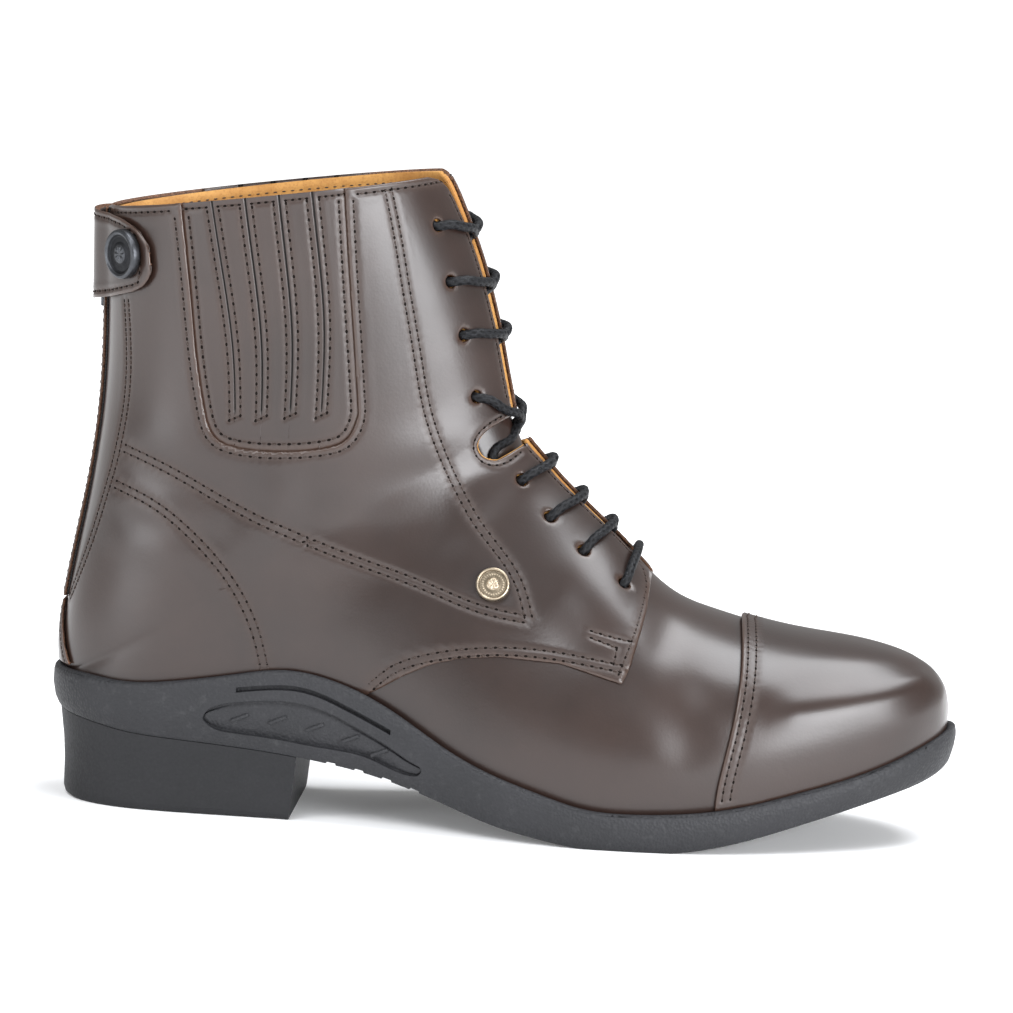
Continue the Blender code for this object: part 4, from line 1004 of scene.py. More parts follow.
def pressSeams(bm, side=None):  # deeper at each needle hole; gives the marks of rubbed leather
    groove = seamGroove
    points = placesOf(bm)
    low, high = points.min(0) - 6.0, points.max(0) + 6.0
    lines = np.concatenate(grooves)
    near = ((lines[:, :3] > low) & (lines[:, :3] < high)).all(axis=1)
    if side:
        near &= lines[:, 1] * towards[side] > 0
    lines = lines[near]
    tree = treeOf(lines[:, :3])
    cutFiner(bm, {v for v in bm.verts if tree.find(v.co)[2] < groove["fineReach"]}, groove["fineEdge"])
    bm.normal_update()
    marks = np.zeros(len(bm.verts))
    for n, vert in enumerate(bm.verts):
        _, index, away = tree.find(vert.co)
        if away < groove["reach"]:
            fall = math.exp(-(away / groove["half"]) ** 2)
            swell = math.exp(-((away - groove["swellAt"]) / groove["swellHalf"]) ** 2)
            wave = 1 - groove["wave"] * (1 - lines[index, 3])
            vert.co -= vert.normal * (fall * groove["depth"] * wave - groove["swell"] * swell)
            marks[n] = math.exp(-(away / groove["rub"]) ** 2)
    return marks


def finishSheet(name, bm, thick, replaced=(), side=None):  # pressed seams, round edges and a wall
    marks = {"seam": pressSeams(bm, side), "rim": softenRim(bm)}
    piece = finishPiece(name, bm, [leather, cutEdge], replaced, marks)
    addWall(piece, thick, 1)


def punchEyelets(bm, side, cell, passes):
    for section, share in eyeletAt[side]:
        point, outward = last.look(side, section, share)
        cutOut(bm, ringDistance(point, outward, eyeletHole / 2), cell, passes)


def makeQuarter(side):
    def place(u, v):
        section = boot["throat"] - 0.4 + (boot["collar"] - boot["throat"] + 0.4) * u
        share = leatherShare(side, np.maximum(section, boot["throat"]), v)
        points, outward = last.look(side, section, share)
        return points + outward * (quarterLevel - creaseDepth(points))[:, None]

    bm = shapedGrid(fineEnds(150), fineEnds(120), place, (-60.0, 0.0, 100.0))
    cutOut(bm, turnedOut(outlineDistance(quarterArea)))
    cutOut(bm, outlineDistance(gussetEdge))
    cutOut(bm, outlineDistance(notchEdge))
    punchEyelets(bm, side, 1.0, 2)
    finishSheet("quarter" + side.capitalize(), bm, boot["quarterWall"], ("upper",), side)


def makeVamp():
    # the rows are even as far as the quarters' front corners, and fan out behind them
    even = 0.4
    ends = {side: quarterStart(side, np.linspace(0, 1, 201)).min() - 0.02 for side in towards}

    def place(side, u, v):
        first, middle, final = capEnd(side, v) - 0.15, ends[side], quarterStart(side, v) + 0.5
        ahead = first + (middle - first) * u / even
        behind = middle + (final - middle) * (u - even) / (1 - even)
        points, outward = last.look(side, np.where(u < even, ahead, behind), v)
        return points - outward * creaseDepth(points)[:, None]

    bm = shapedGrid(np.linspace(0, 1, 80), np.linspace(-1, 1, 181), bothSides(place), (20.0, 0.0, 0.0))
    piece = finishPiece("vamp", bm, [leather], ("upper",))
    addWall(piece, boot["vampWall"])


# the shoulder is the ridge of the toe box, in pixels; the rows of stitches are that far from the edge
capLook = {"level": 1.6, "thick": 1.0, "clear": -0.7, "crest": 0.7, "stitchRows": (1.9, 4.3), "pitch": 2.7,
           "shoulder": ((753, 716), (800, 712), (850, 705), (890, 696), (918, 686))}
sectionStep = 21.0  # from one section to the next at the edge of the cap


def capLowest(side, sections):  # share where the cap meets the rim of the sole
    shares = np.arange(1.0, 0.3, -0.004)
    found = []
    for section in sections:
        points = last.at(side, section, shares, capLook["level"])
        clear = points[:, 2] > rimHeight(points[:, 0]) + capLook["clear"]
        found.append(shares[int(np.argmax(clear))])
    return np.array(found)


lowSections = np.linspace(0, 6.2, 90)
lowTable = {side: capLowest(side, lowSections) for side in towards}


def capFoot(side, section):
    return np.interp(section, lowSections, lowTable[side])


def sewCap():
    share = np.linspace(0.0, 0.955, 200)
    for side in towards:
        for inset in capLook["stitchRows"]:
            section = capEnd(side, share) - inset / sectionStep
            points, outward = last.look(side, section, share * capFoot(side, section))
            sewPath(points + outward * capLook["level"], outward, capLook["pitch"])


def makeToeCap():
    shoulder = fromPhoto(smoothLine(capLook["shoulder"], 6.0))
    shoulder = shoulder[np.argsort(shoulder[:, 0])]

    def place(side, u, v):
        section = capEnd(side, v) * u
        share = v * capFoot(side, section)
        away = (share - np.interp(section, *shoulder.T)) * last.lengthAt(side, section)
        # the ridge fades out at the toe and in front of the stitches
        fade = np.clip((section - 1.2) / 1.5, 0, 1) * np.clip((capEnd(side, v) - section - 0.4) / 0.4, 0, 1)
        crest = capLook["crest"] * (np.exp(-(away / 5.0) ** 2) - 0.5 * np.exp(-((away + 10.0) / 6.0) ** 2))
        return last.at(side, section, share, capLook["level"] + crest * fade)

    rows = np.unique(np.concatenate([np.linspace(0, 1, 90) ** 1.3, [0.997, 0.992]]))
    bm = shapedGrid(rows, np.linspace(-1, 1, 181), bothSides(place), (90.0, 0.0, 0.0))
    bmesh.ops.remove_doubles(bm, verts=bm.verts, dist=0.01)
    finishSheet("toeCap", bm, capLook["thick"], ("toe_cap",))


# lower edge of the gusset, under the quarter: x, z
gussetHem = ((-96.0, 118.0), (-83.4, 114.9), (-70.0, 114.8), (-57.9, 116.3), (-47.5, 120.0))


def makeGusset(side):
    tops, feet = gussetRuns[side]
    knots = np.linspace(0, 1, len(tops))
    lowEdge = last.nearest(side, gussetHem)
    inside = outlineDistance(gussetEdge)
    wide = 1 / len(knots[1:])

    def layOut(u, v):
        section = np.interp(v, np.linspace(0, 1, len(lowEdge)), lowEdge[:, 0])
        section = section + (boot["collar"] - section) * u
        lines = np.stack([slitShare(side, n, section) for n in range(len(knots))], axis=1)
        k = np.minimum((v / wide).astype(int), len(knots) - 2)
        pick = np.arange(len(v))
        mix = v / wide - k
        return section, lines[pick, k] * (1 - mix) + lines[pick, k + 1] * mix, lines

    def sunk(section, share, lines):  # 1 along the middle of the slits; it sinks the leather there and marks the painted shade in them
        found = np.zeros(len(section))
        for n in range(1, len(knots) - 1):
            away = np.abs(share - lines[:, n]) * last.lengthAt(side, section) / gussetLook["slitHalf"]
            closed = np.clip((section - feet[n][0]) / 0.1, 0, 1)
            found = np.maximum(found, np.exp(-away ** 4) * closed)
        return found

    def place(u, v):
        section, share, lines = layOut(u, v)
        points, outward = last.look(side, section, share)
        depth, _ = inside(points)
        level = gussetLook["level"] - gussetLook["edgeDrop"] * np.exp(-(np.minimum(depth, 0) / 1.6) ** 2)
        return points + outward * (level - gussetLook["slitDepth"] * sunk(section, share, lines))[:, None]

    fine = np.array((-0.16, -0.09, -0.045, -0.02, 0.0, 0.02, 0.045, 0.09, 0.16)) * wide
    columns = np.unique(np.concatenate([np.linspace(0, 1, 71)] + [knot + fine for knot in knots[1:-1]]))
    rows = fineEnds(90)
    bm = shapedGrid(rows, columns, place, (-60.0, 0.0, 100.0))
    depth, _ = inside(placesOf(bm))
    # the sunk mark is where the leather material paints shade into the slits
    marks = {"sunk": sunk(*layOut(*np.array([(row, column) for column in columns for row in rows]).T)),
             "rim": np.exp(-(depth / 1.3) ** 2)}
    for name, values in marks.items():
        layer = bm.verts.layers.float.new(name)
        for vert, value in zip(bm.verts, values):
            vert[layer] = value
    seam = pressSeams(bm, side)
    piece = finishPiece("gusset" + side.capitalize(), bm, [leather, cutEdge], ("gusset_" + side,),
                        {"seam": seam})
    addWall(piece, gussetLook["thick"], 1)


# the lining runs between two sections, deeper under the vamp than under the quarters
liningLook = {"ends": (0.4, 22.94), "inset": 0.15, "turn": (7.5, 9.0), "levels": (-1.3, -0.45), "thick": 1.5}


def makeLiningSheet(side):
    look = liningLook

    def place(u, v):
        section = look["ends"][0] + (look["ends"][1] - look["ends"][0]) * u
        opening = last.opening(side, section)
        opening = np.where(opening > 0, opening + look["inset"] / last.lengthAt(side, section), 0.0)
        level = np.interp(section, look["turn"], look["levels"])
        return last.at(side, section, opening + (0.995 - opening) * v, level)

    bm = shapedGrid(np.linspace(0, 1, 130), np.linspace(0, 1, 70), place, (-60.0, 0.0, 100.0))
    cutOut(bm, outlineDistance(notchEdge))
    punchEyelets(bm, side, 1.2, 1)
    piece = finishPiece("lining" + side.capitalize(), bm, [lining])
    addWall(piece, look["thick"])


tongueLook = {"half": 24.0, "thick": 1.8, "drop": 4.9, "lean": 9.0, "leanStart": 18.0, "swell": 2.6,
              "swellAt": 14.6, "swellHalf": 1.7,
              "sections": (6.6, 7.2, 8.0, 22.3, 22.8), "widths": (0.7, 0.78, 1, 1, 0.86)}


def makeTongue():
    look = tongueLook

    def place(side, u, v):
        first, final = look["sections"][0], look["sections"][-1]
        section = first + (final - first) * u
        half = look["half"] * np.interp(section, look["sections"], look["widths"])
        lean = np.clip((section - look["leanStart"]) / (boot["collar"] - look["leanStart"]), 0, 1)
        middle = np.exp(-((section - look["swellAt"]) / look["swellHalf"]) ** 4)
        swell = look["swell"] * middle * (1 - v ** 2)
        level = swell - look["drop"] - look["lean"] * lean ** 2
        return last.at(side, section, v * half / last.lengthAt(side, section), level)

    bm = shapedGrid(np.linspace(0, 1, 110), np.linspace(-1, 1, 41), bothSides(place), (-90.0, 0.0, 90.0))
    softenRim(bm)
    piece = finishPiece("tongueLeather", bm, [leather, cutEdge], ("tongue",))
    addWall(piece, look["thick"], 1)


footbedLook = {"ends": (-135.0, 135.0), "inset": 3.0, "lift": 3.0, "cup": 1.2, "thick": 2.6}


def makeFootbed():
    look = footbedLook

    def place(u, v):
        x = look["ends"][0] + (look["ends"][1] - look["ends"][0]) * u
        half = np.where(v < 0, halfWidth["lateral"](x), halfWidth["medial"](x))
        edge = np.maximum(half - look["inset"], 0.5) * np.sign(v)
        z = edgeHeight(x) + look["lift"] + look["cup"] * np.abs(v) ** 4
        return np.stack([x, edge * np.abs(v), z], axis=1)

    bm = shapedGrid(np.linspace(0, 1, 90), np.linspace(-1, 1, 31), place, (0.0, 0.0, -2000.0))
    piece = finishPiece("footbed", bm, [lining], ("insole",))
    addWall(piece, look["thick"])


sewCap()
makeVamp()
makeToeCap()
for side in towards:
    makeQuarter(side)
    makeGusset(side)
    makeLiningSheet(side)
makeTongue()
makeFootbed()
print("leather panels are cut")

# sole and heel

# side of the sole from the underside to the rim: inwards of its widest line, share of the height
soleSide = ((2.6, 0.0), (1.6, 0.08), (0.9, 0.22), (0.3, 0.42), (0.0, 0.62), (0.08, 0.8), (0.5, 0.94),
            (1.0, 0.98), (1.9, 1.0))
heelSide = ((-1.6, 0.0), (-0.5, 0.03), (0.0, 0.09), (0.0, 0.4), (0.5, 0.65), (1.8, 1.0))  # outwards, share

# recesses in both sides of the sole: x, z; the floor of the leaf: share of its height, depth
leaf = {"high": ((-91.5, 31.4), (-90.6, 33.3), (-89.1, 34.5), (-86.7, 35.6), (-78.8, 37.2), (-66.9, 38.1),
                 (-54.8, 36.4), (-42.7, 31.5), (-30.4, 25.3), (-23.1, 21.3), (-21.7, 20.5), (-21.3, 19.8)),
        "low": ((-91.5, 31.4), (-89.7, 29.5), (-82.4, 27.5), (-70.4, 26.6), (-54.3, 24.7), (-38.3, 22.5),
                (-24.5, 18.2), (-22.4, 18.5), (-21.3, 19.8)),
        "floor": ((0.0, 1.5), (0.07, 1.5), (0.16, 0.9), (0.5, 0.7), (0.84, 0.9), (0.93, 1.5), (1.0, 1.5)),
        "limits": (0.1, 0.66)}
slotLine = ((-81.4, 41.0), (-71.0, 42.4), (-63.1, 42.6), (-55.0, 41.0), (-47.0, 37.9), (-38.8, 34.3),
            (-31.5, 30.9))
slotLook = {"depth": 2.2, "half": 0.6, "limits": (0.7, 0.9)}
ribs = {"x": (-80.0, -68.0, -56.0, -44.5, -35.0), "size": (6.0, 1.3, 1.1), "slant": 24.0, "bevel": 0.3}
soleLook = {"wall": 0.35, "breast": -62.0, "lean": 2.0, "heelGap": 0.25, "pitch": 9.0, "groove": 3.0,
            "grooveDepth": 1.6, "firstGroove": -50.8, "lastGroove": 126.0, "shankEnd": -22.0,
            "treadFade": (102.0, 116.0), "treadWidths": (0.0, 0.35, 0.7, 0.94), "treadEdge": 0.955,
            "shankGroove": 0.4, "seatDrop": 1.2}
seatRows = ((2.4, 0.05), (3.2, 0.5), (4.4, 1.6), (6.2, 3.2))  # inside of the rim: inwards, below the rim


def sectionAtEdge(x):
    foot = last.sections <= boot["heelSection"]
    return np.interp(-np.asarray(x), -last.backX[foot], last.sections[foot])


def edgePath(sections):  # bottom edge of both sides with directions outward, seen from above
    found = {}
    for side in towards:
        points, _ = last.look(side, sections, 1.0)
        fine = 0.01
        ahead = last.at(side, np.minimum(sections + fine, boot["heelSection"]), 1.0)
        behind = last.at(side, np.maximum(sections - fine, 0.0), 1.0)
        along = (ahead - behind)[:, :2]
        away = unit(np.stack([along[:, 1], -along[:, 0]], axis=1) * towards[side])
        away[sections <= 0] = (1.0, 0.0)
        away[sections >= boot["heelSection"]] = (-1.0, 0.0)
        found[side] = points[:, :2], away
    return found


def recessEdge(x, line, limits):  # share of the side's height along one edge of a recess
    line = smoothLine(line, 0.4)
    share = (np.interp(x, *line.T) - underHeight(x)) / (rimHeight(x) - underHeight(x))
    return np.clip(share, *limits)


def leafEdges(x):
    return [recessEdge(x, leaf[name], leaf["limits"]) for name in ("low", "high")]


def soleProfile(x):  # rows of shares and depths from the underside to the rim, at each station along x
    leafLow, leafHigh = leafEdges(x)
    inLeaf = (x > leaf["low"][0][0]) & (x < leaf["low"][-1][0])
    inSlot = (x > slotLine[0][0]) & (x < slotLine[-1][0])
    tall = rimHeight(x) - underHeight(x)
    wall, half = soleLook["wall"] / tall, slotLook["half"] / tall
    slotMiddle = recessEdge(x, slotLine, slotLook["limits"])
    slotLow, slotHigh = slotMiddle - half, slotMiddle + half
    plain, sunk = 0 * x, inSlot * slotLook["depth"]
    rows = [(share + plain, plain) for share in (0.0, 0.02, 0.05)] + [(leafLow - wall, plain)]
    rows += [(leafLow + (leafHigh - leafLow) * share, inLeaf * depth) for share, depth in leaf["floor"]]
    rows += [(leafHigh + wall, plain), ((leafHigh + slotLow) / 2, plain), (slotLow - 0.6 * wall, plain),
             (slotLow, sunk), (slotHigh, sunk), (slotHigh + 0.6 * wall, plain)]
    return rows + [(share + plain, plain) for share in (0.94, 0.975, 0.994, 1.0)]


def heelStations(count):  # closer together round the back of the heel
    return boot["heelSection"] - np.linspace(0, 1.25, count) ** 1.7


def soleStations():
    grooveAt = np.arange(soleLook["firstGroove"], soleLook["lastGroove"], soleLook["pitch"])
    half = soleLook["groove"] / 2
    edges = np.concatenate([grooveAt + d for d in (-half - 0.15, -half + 0.15, half - 0.15, half + 0.15)])
    ends = [line[n][0] for line in (leaf["low"], slotLine) for n in (0, -1)]
    tips = np.concatenate([np.array(ends) + d for d in (-1.7, -0.9, -0.4, -0.1, 0.1, 0.4, 0.9, 1.7)])
    sections = np.concatenate([sectionAtEdge(np.concatenate([edges, tips])), np.linspace(0, 1.6, 28) ** 1.5,
                               np.linspace(2, 13.4, 150), heelStations(28)])
    return np.unique(np.round(sections, 4)), grooveAt


def grooveDepth(x, grooveAt):
    away = np.abs(x[:, None] - grooveAt[None]).min(axis=1)
    return np.where(away < soleLook["groove"] / 2, soleLook["grooveDepth"], 0.0)


def makeSole():
    sections, grooveAt = soleStations()
    edges = edgePath(sections)
    insets, heights = rowColumn(soleSide, 0), rowColumn(soleSide, 1)
    fadeStart, fadeEnd = soleLook["treadFade"]
    layers = {}
    for side in towards:
        loop, away = edges[side]
        x, y = loop.T
        deep = grooveDepth(x, grooveAt) * np.clip((fadeEnd - x) / (fadeEnd - fadeStart), 0, 1)
        edgeDeep = soleLook["shankGroove"] * deep * (x < soleLook["shankEnd"])
        rings = [np.column_stack([x, y * width, underHeight(x) + deep]) for width in soleLook["treadWidths"]]
        rings.append(np.column_stack([x, y * soleLook["treadEdge"], underHeight(x) + edgeDeep]))
        for share, depth in soleProfile(loop[:, 0]):
            ring = loop + away * (boot["soleMargin"] - np.interp(share, heights, insets) - depth)[:, None]
            low, high = underHeight(ring[:, 0]), rimHeight(ring[:, 0])
            height = np.maximum(low + (high - low) * share, low + edgeDeep * (share < 0.1))
            rings.append(np.column_stack([ring, height]))
        for inset, drop in seatRows:
            ring = loop + away * (boot["soleMargin"] - inset)
            rings.append(np.column_stack([ring, rimHeight(ring[:, 0]) - drop]))
        middle = np.column_stack([x, 0 * x, edgeHeight(x) - soleLook["seatDrop"]])
        layers[side] = np.array(rings + [middle])

    def place(u, v):  # from the heel along the lateral side to the toe, and back along the medial side
        station = np.abs(u)
        return np.where((u <= 0)[:, None], layers["lateral"][v, station], layers["medial"][v, station])

    count = len(sections)
    bm = shapedGrid(np.arange(1 - count, count), np.arange(len(layers["lateral"])), place)
    closeUp(bm, 0.02)
    finishPiece("rubberSole", bm, [soleRubber], ("outsole",), sharp=38)


def block(bm, size, place):
    bmesh.ops.create_cube(bm, size=1.0, matrix=place @ Matrix.Diagonal((*size, 1.0)))


def roundBlocks(bm, offset, segments):
    bmesh.ops.bevel(bm, geom=bm.edges[:], offset=offset, affect="EDGES", segments=segments, profile=0.5,
                    material=-1)


def makeRibs():  # slim plain ribs on the floor of the leaf
    bm = bmesh.new()
    x = np.array(ribs["x"])
    edges = edgePath(sectionAtEdge(x))
    share = sum(leafEdges(x)) / 2
    floorDepth = leaf["floor"][3][1]
    out = boot["soleMargin"] - np.interp(share, rowColumn(soleSide, 1), rowColumn(soleSide, 0)) - floorDepth
    z = underHeight(x) + (rimHeight(x) - underHeight(x)) * share
    for side in towards:
        loop, away = edges[side]
        for spot, way, height in zip(loop + away * out[:, None], away, z):
            facing = Matrix.Rotation(math.atan2(way[1], way[0]) - math.pi / 2, 4, "Z")
            slant = Matrix.Rotation(math.radians(ribs["slant"] * -towards[side]), 4, "Y")
            block(bm, ribs["size"], Matrix.Translation((*spot, height)) @ facing @ slant)
    roundBlocks(bm, ribs["bevel"], 2)
    bmesh.ops.recalc_face_normals(bm, faces=bm.faces)
    finishPiece("soleRibs", bm, [soleRubber])


def ringSolid(rings):  # a grid through closed rings, with both ends filled
    rings = np.array(rings)
    count = rings.shape[1]
    bm = shapedGrid(np.arange(count + 1), np.arange(len(rings)), lambda u, v: rings[v, u % count])
    bmesh.ops.remove_doubles(bm, verts=bm.verts, dist=0.001)
    bmesh.ops.holes_fill(bm, edges=[e for e in bm.edges if e.is_boundary], sides=0)
    bmesh.ops.recalc_face_normals(bm, faces=bm.faces)
    return bm


def makeHeel():
    breast = float(sectionAtEdge(soleLook["breast"]))
    sections = np.unique(np.concatenate([np.linspace(breast, 13.4, 30), heelStations(24)]))
    edges = edgePath(sections)
    loop, away = (np.concatenate([edges["lateral"][n], edges["medial"][n][-2::-1]]) for n in (0, 1))
    shares = np.unique(np.concatenate([rowColumn(heelSide, 1), np.linspace(0.1, 1, 14)]))
    outs = np.interp(shares, rowColumn(heelSide, 1), rowColumn(heelSide, 0))
    rings = []
    for share, out in zip(shares, outs):
        ring = loop + away * out
        ring[[0, -1], 0] = soleLook["breast"] - soleLook["lean"] * (1 - share)
        rings.append(np.column_stack([ring, (underHeight(ring[:, 0]) - soleLook["heelGap"]) * share]))
    finishPiece("heelBlock", ringSolid(rings), [heelRubber], ("heel",), sharp=35)


makeSole()
makeRibs()
makeHeel()
print("sole and heel are moulded")

# back of the boot: zip, strap, guard and metal

# strap from behind, with a tip on the lateral side and sewn down on the other: y, low z, high z
strapRows = (
    (-30.4, 171.4, 176.2), (-30.1, 168.9, 178.3), (-29.3, 166.7, 180.3), (-27.8, 164.6, 182.4),
    (-25.4, 163.0, 184.2), (-22.0, 161.8, 185.4), (-17.0, 160.4, 186.0), (-12.0, 159.4, 186.4),
    (-6.0, 158.4, 187.0), (0.0, 158.0, 187.0), (6.0, 158.4, 187.0), (12.0, 159.5, 187.0),
    (17.0, 160.8, 187.0), (22.0, 162.4, 187.0), (27.0, 164.6, 187.0))
heelTabRows = ((42.8, 14.5), (46.5, 13.0), (52.0, 10.5), (57.0, 7.5), (61.6, 4.0))  # height, half width
backLook = {"seat": 1.3, "strapThick": 1.9, "strapRise": 2.8, "riseEnds": (8.0, 16.0), "strapInset": 2.0,
            "tabThick": 1.2, "tabInset": 1.8}
zipLook = {"half": 5.0, "ends": (62.8, 187.0), "level": 1.6, "thick": 0.5, "toothLevel": 1.8,
           "toothPitch": 1.6, "tooth": (1.9, 0.75, 0.9), "toothBevel": 0.14, "toothShift": 0.6,
           "pull": (1.3, 4.4, 9.0), "pullHeight": 160.0, "pullLevel": 3.0, "pullBevel": 0.5}
guardLook = {"from": 1.3, "to": 5.6, "level": 2.7, "thick": 1.2, "inset": 1.5}


def onBack(y, z, level):  # points of the back as seen from behind, with their outward directions
    y, z, level = np.broadcast_arrays(y, z, level)
    found, outward = np.empty((len(y), 3)), np.empty((len(y), 3))
    for side in towards:
        pick = y < 0 if side == "lateral" else y >= 0
        if pick.any():
            places = last.nearest(side, np.stack([y[pick], z[pick]], axis=1), (1, 2), behind=True)
            found[pick], outward[pick] = last.look(side, *places.T)
    return found + outward * level[:, None], outward


def strapLevel(y):  # the strap rises over the zip
    near, far = backLook["riseEnds"]
    lift = np.clip((far - np.abs(y)) / (far - near), 0, 1)
    return backLook["seat"] + backLook["strapRise"] * lift * lift * (3 - 2 * lift) + backLook["strapThick"]


def makeStrap():
    y, low, high = (rowColumn(strapRows, n) for n in range(3))

    def place(u, v):
        across = y[0] + (y[-1] - y[0]) * u
        bottom, top = np.interp(across, y, low), np.interp(across, y, high)
        return onBack(across, bottom + (top - bottom) * v, strapLevel(across))[0]

    inset = backLook["strapInset"]
    run = np.linspace(y[0] + inset + 1.2, y[-1] - 1.0, 90)
    ends = np.interp(run, y, low) + inset, np.interp(run, y, high) - inset
    for z in ends:
        sewPath(*onBack(run, z, strapLevel(run)), stitch["close"])
    tip = np.linspace(ends[0][0], ends[1][0], 20)
    bulge = run[0] - np.sin(np.linspace(0, math.pi, 20))
    sewPath(*onBack(bulge, tip, strapLevel(bulge)), stitch["close"])
    columns = np.unique(np.concatenate([np.linspace(0, 1, 70), [0.004, 0.01]]))  # closer at the tip
    bm = shapedGrid(columns, fineEnds(34), place, (-60.0, 0.0, 172.0))
    finishSheet("strapLeather", bm, backLook["strapThick"], ("back_strap",))


def makeHeelTab():
    z, half = rowColumn(heelTabRows, 0), rowColumn(heelTabRows, 1)
    level = backLook["seat"] + backLook["tabThick"]

    def place(u, v):
        height = z[0] + (z[-1] - z[0]) * u
        return onBack(v * np.interp(height, z, half), height, level)[0]

    run = np.linspace(z[0] + 1.0, z[-1] - 1.5, 40)
    for sign in (-1, 1):
        across = sign * (np.interp(run, z, half) - backLook["tabInset"])
        sewPath(*onBack(across, run, level), stitch["close"])
    bm = shapedGrid(np.linspace(0, 1, 40), np.linspace(-1, 1, 41), place, (-60.0, 0.0, 60.0))
    finishSheet("heelTab", bm, backLook["tabThick"], ("heel_tab",))


def standing(point, outward, axis, up):  # a place with one axis along the outward direction
    return Matrix.Translation(point) @ Vector(outward).to_track_quat(axis, up).to_matrix().to_4x4()


def makeZip():
    low, high = zipLook["ends"]

    def place(u, v):
        return onBack(v * zipLook["half"], low + (high - low) * u, zipLook["level"])[0]

    bm = shapedGrid(np.linspace(0, 1, 90), np.linspace(-1, 1, 13), place, (-60.0, 0.0, 120.0))
    piece = finishPiece("zipTape", bm, [tape], ("back_zip",))
    addWall(piece, zipLook["thick"])
    heights = np.arange(low + 1.5, high - 1.0, zipLook["toothPitch"] / 2)
    places, outward = onBack(0.0, heights, zipLook["toothLevel"])
    bm = bmesh.new()
    for n, (spot, away) in enumerate(zip(places, outward)):
        across = zipLook["toothShift"] * (-1 if n % 2 else 1)  # teeth of the two tapes by turns
        block(bm, zipLook["tooth"], standing(spot + (0.0, across, 0.0), away, "Z", "Y"))
    roundBlocks(bm, zipLook["toothBevel"], 1)
    finishPiece("zipTeeth", bm, [gunmetal], sharp=40)


def makeZipPull():  # its end hangs out below the strap
    point, outward = onBack([0.0], zipLook["pullHeight"], zipLook["pullLevel"])
    bm = bmesh.new()
    block(bm, zipLook["pull"], standing(point[0], outward[0], "X", "Z"))
    roundBlocks(bm, zipLook["pullBevel"], 3)
    finishPiece("zipPull", bm, [gunmetal])


def makeZipGuard(side):  # leather strip that covers one half of the tape
    low, high = zipLook["ends"]
    near, far, level = guardLook["from"], guardLook["to"], guardLook["level"]

    def place(u, v):
        return onBack(towards[side] * (near + (far - near) * v), low + (high - low) * u, level)[0]

    run = np.linspace(low + 1.0, high - 1.0, 120)
    sewPath(*onBack(towards[side] * (far - guardLook["inset"]), run, level), stitch["close"])
    bm = shapedGrid(np.linspace(0, 1, 150), fineEnds(13, (0.05, 0.12)), place, (-60.0, 0.0, 120.0))
    finishSheet("zipGuard" + side.capitalize(), bm, guardLook["thick"], side=side)


# buttons from the middle out: share of the radius, share of the height
studProfile = ((0.0, 0.86), (0.3, 0.86), (0.42, 0.8), (0.5, 0.7), (0.68, 0.68), (0.74, 0.74), (0.8, 0.92),
               (0.87, 1.0), (0.94, 0.96), (0.985, 0.82), (1.0, 0.6), (1.0, 0.2), (0.96, 0.0), (0.0, 0.0))
rivetProfile = ((0.0, 0.9), (0.3, 0.88), (0.4, 0.72), (0.5, 0.62), (0.72, 0.62), (0.78, 0.66), (0.84, 0.9),
                (0.9, 1.0), (0.95, 0.95), (0.99, 0.75), (1.0, 0.4), (0.98, 0.1), (0.94, 0.0), (0.0, 0.0))
studLook = {"place": (-120.0, 174.6), "size": 15.5, "height": 3.2, "level": 3.2, "petals": 8, "beads": 0,
            "relief": 0.3}
rivetLook = {"place": (-3.3, 78.0), "size": 10.6, "height": 2.2, "level": 1.25, "petals": 6, "beads": 26,
             "relief": 0.3}
# middle and half width of the relief on both, and the sunk ring where shade is painted on the metal, as
# shares of the radius
buttonLook = {"rosette": (0.2, 0.16), "beadRing": (0.61, 0.09), "shadedRing": (0.36, 0.78), "dark": 0.75}


def makeButton(name, look, profile, material, replaced):
    radius, height = look["size"] / 2, look["height"]
    section, share = last.nearest("lateral", look["place"])[0]
    point, outward = last.look("lateral", section, share)
    reach = walkAlong(np.array(profile) * (radius, height))
    walked = np.unique(np.concatenate([reach, np.linspace(0, reach[-4], 50)]))
    r, h = (np.interp(walked, reach, rowColumn(profile, n)) for n in (0, 1))

    def relief(rShare, angle):  # a plain rosette in the middle and, on the rivet, a ring of beads
        def ring(middle, half, count):
            return np.clip(1 - np.abs(rShare - middle) / half, 0, 1) * (0.5 + 0.5 * np.cos(angle * count))

        beads = ring(*buttonLook["beadRing"], look["beads"]) if look["beads"] else 0.0
        return look["relief"] * (ring(*buttonLook["rosette"], look["petals"]) + beads)

    def place(u, k):
        lift = np.where(k < len(walked) - 4, relief(r[k], u), 0.0)
        return np.stack([np.cos(u) * r[k] * radius, np.sin(u) * r[k] * radius, h[k] * height + lift], axis=1)

    bm = shapedGrid(np.linspace(0, 2 * math.pi, 105), np.arange(len(walked)), place)
    closeUp(bm, 0.002)
    x, y, _ = placesOf(bm).T
    out = np.hypot(x, y) / radius
    raised = np.clip(relief(out, np.arctan2(y, x)) / look["relief"], 0, 1)
    # painted shade: the sunk ring of each button, away from its raised relief, is marked to be darker
    first, final = buttonLook["shadedRing"]
    marks = np.where((out > first) & (out < final), buttonLook["dark"], 0.0) * (1 - raised)
    seat = standing(point + outward * look["level"], outward, "Z", "Y")
    bmesh.ops.transform(bm, verts=bm.verts, matrix=seat)
    finishPiece(name, bm, [material], replaced, {"sunk": marks})


makeStrap()
makeHeelTab()
makeZip()
makeZipPull()
for side in towards:
    makeZipGuard(side)
makeButton("pressStud", studLook, studProfile, gunmetal, ("strap_stud",))
makeButton("sideRivet", rivetLook, rivetProfile, pewter, ("rivet",))
print("back and metal are fitted")

# lace: one cord through all the eyelets

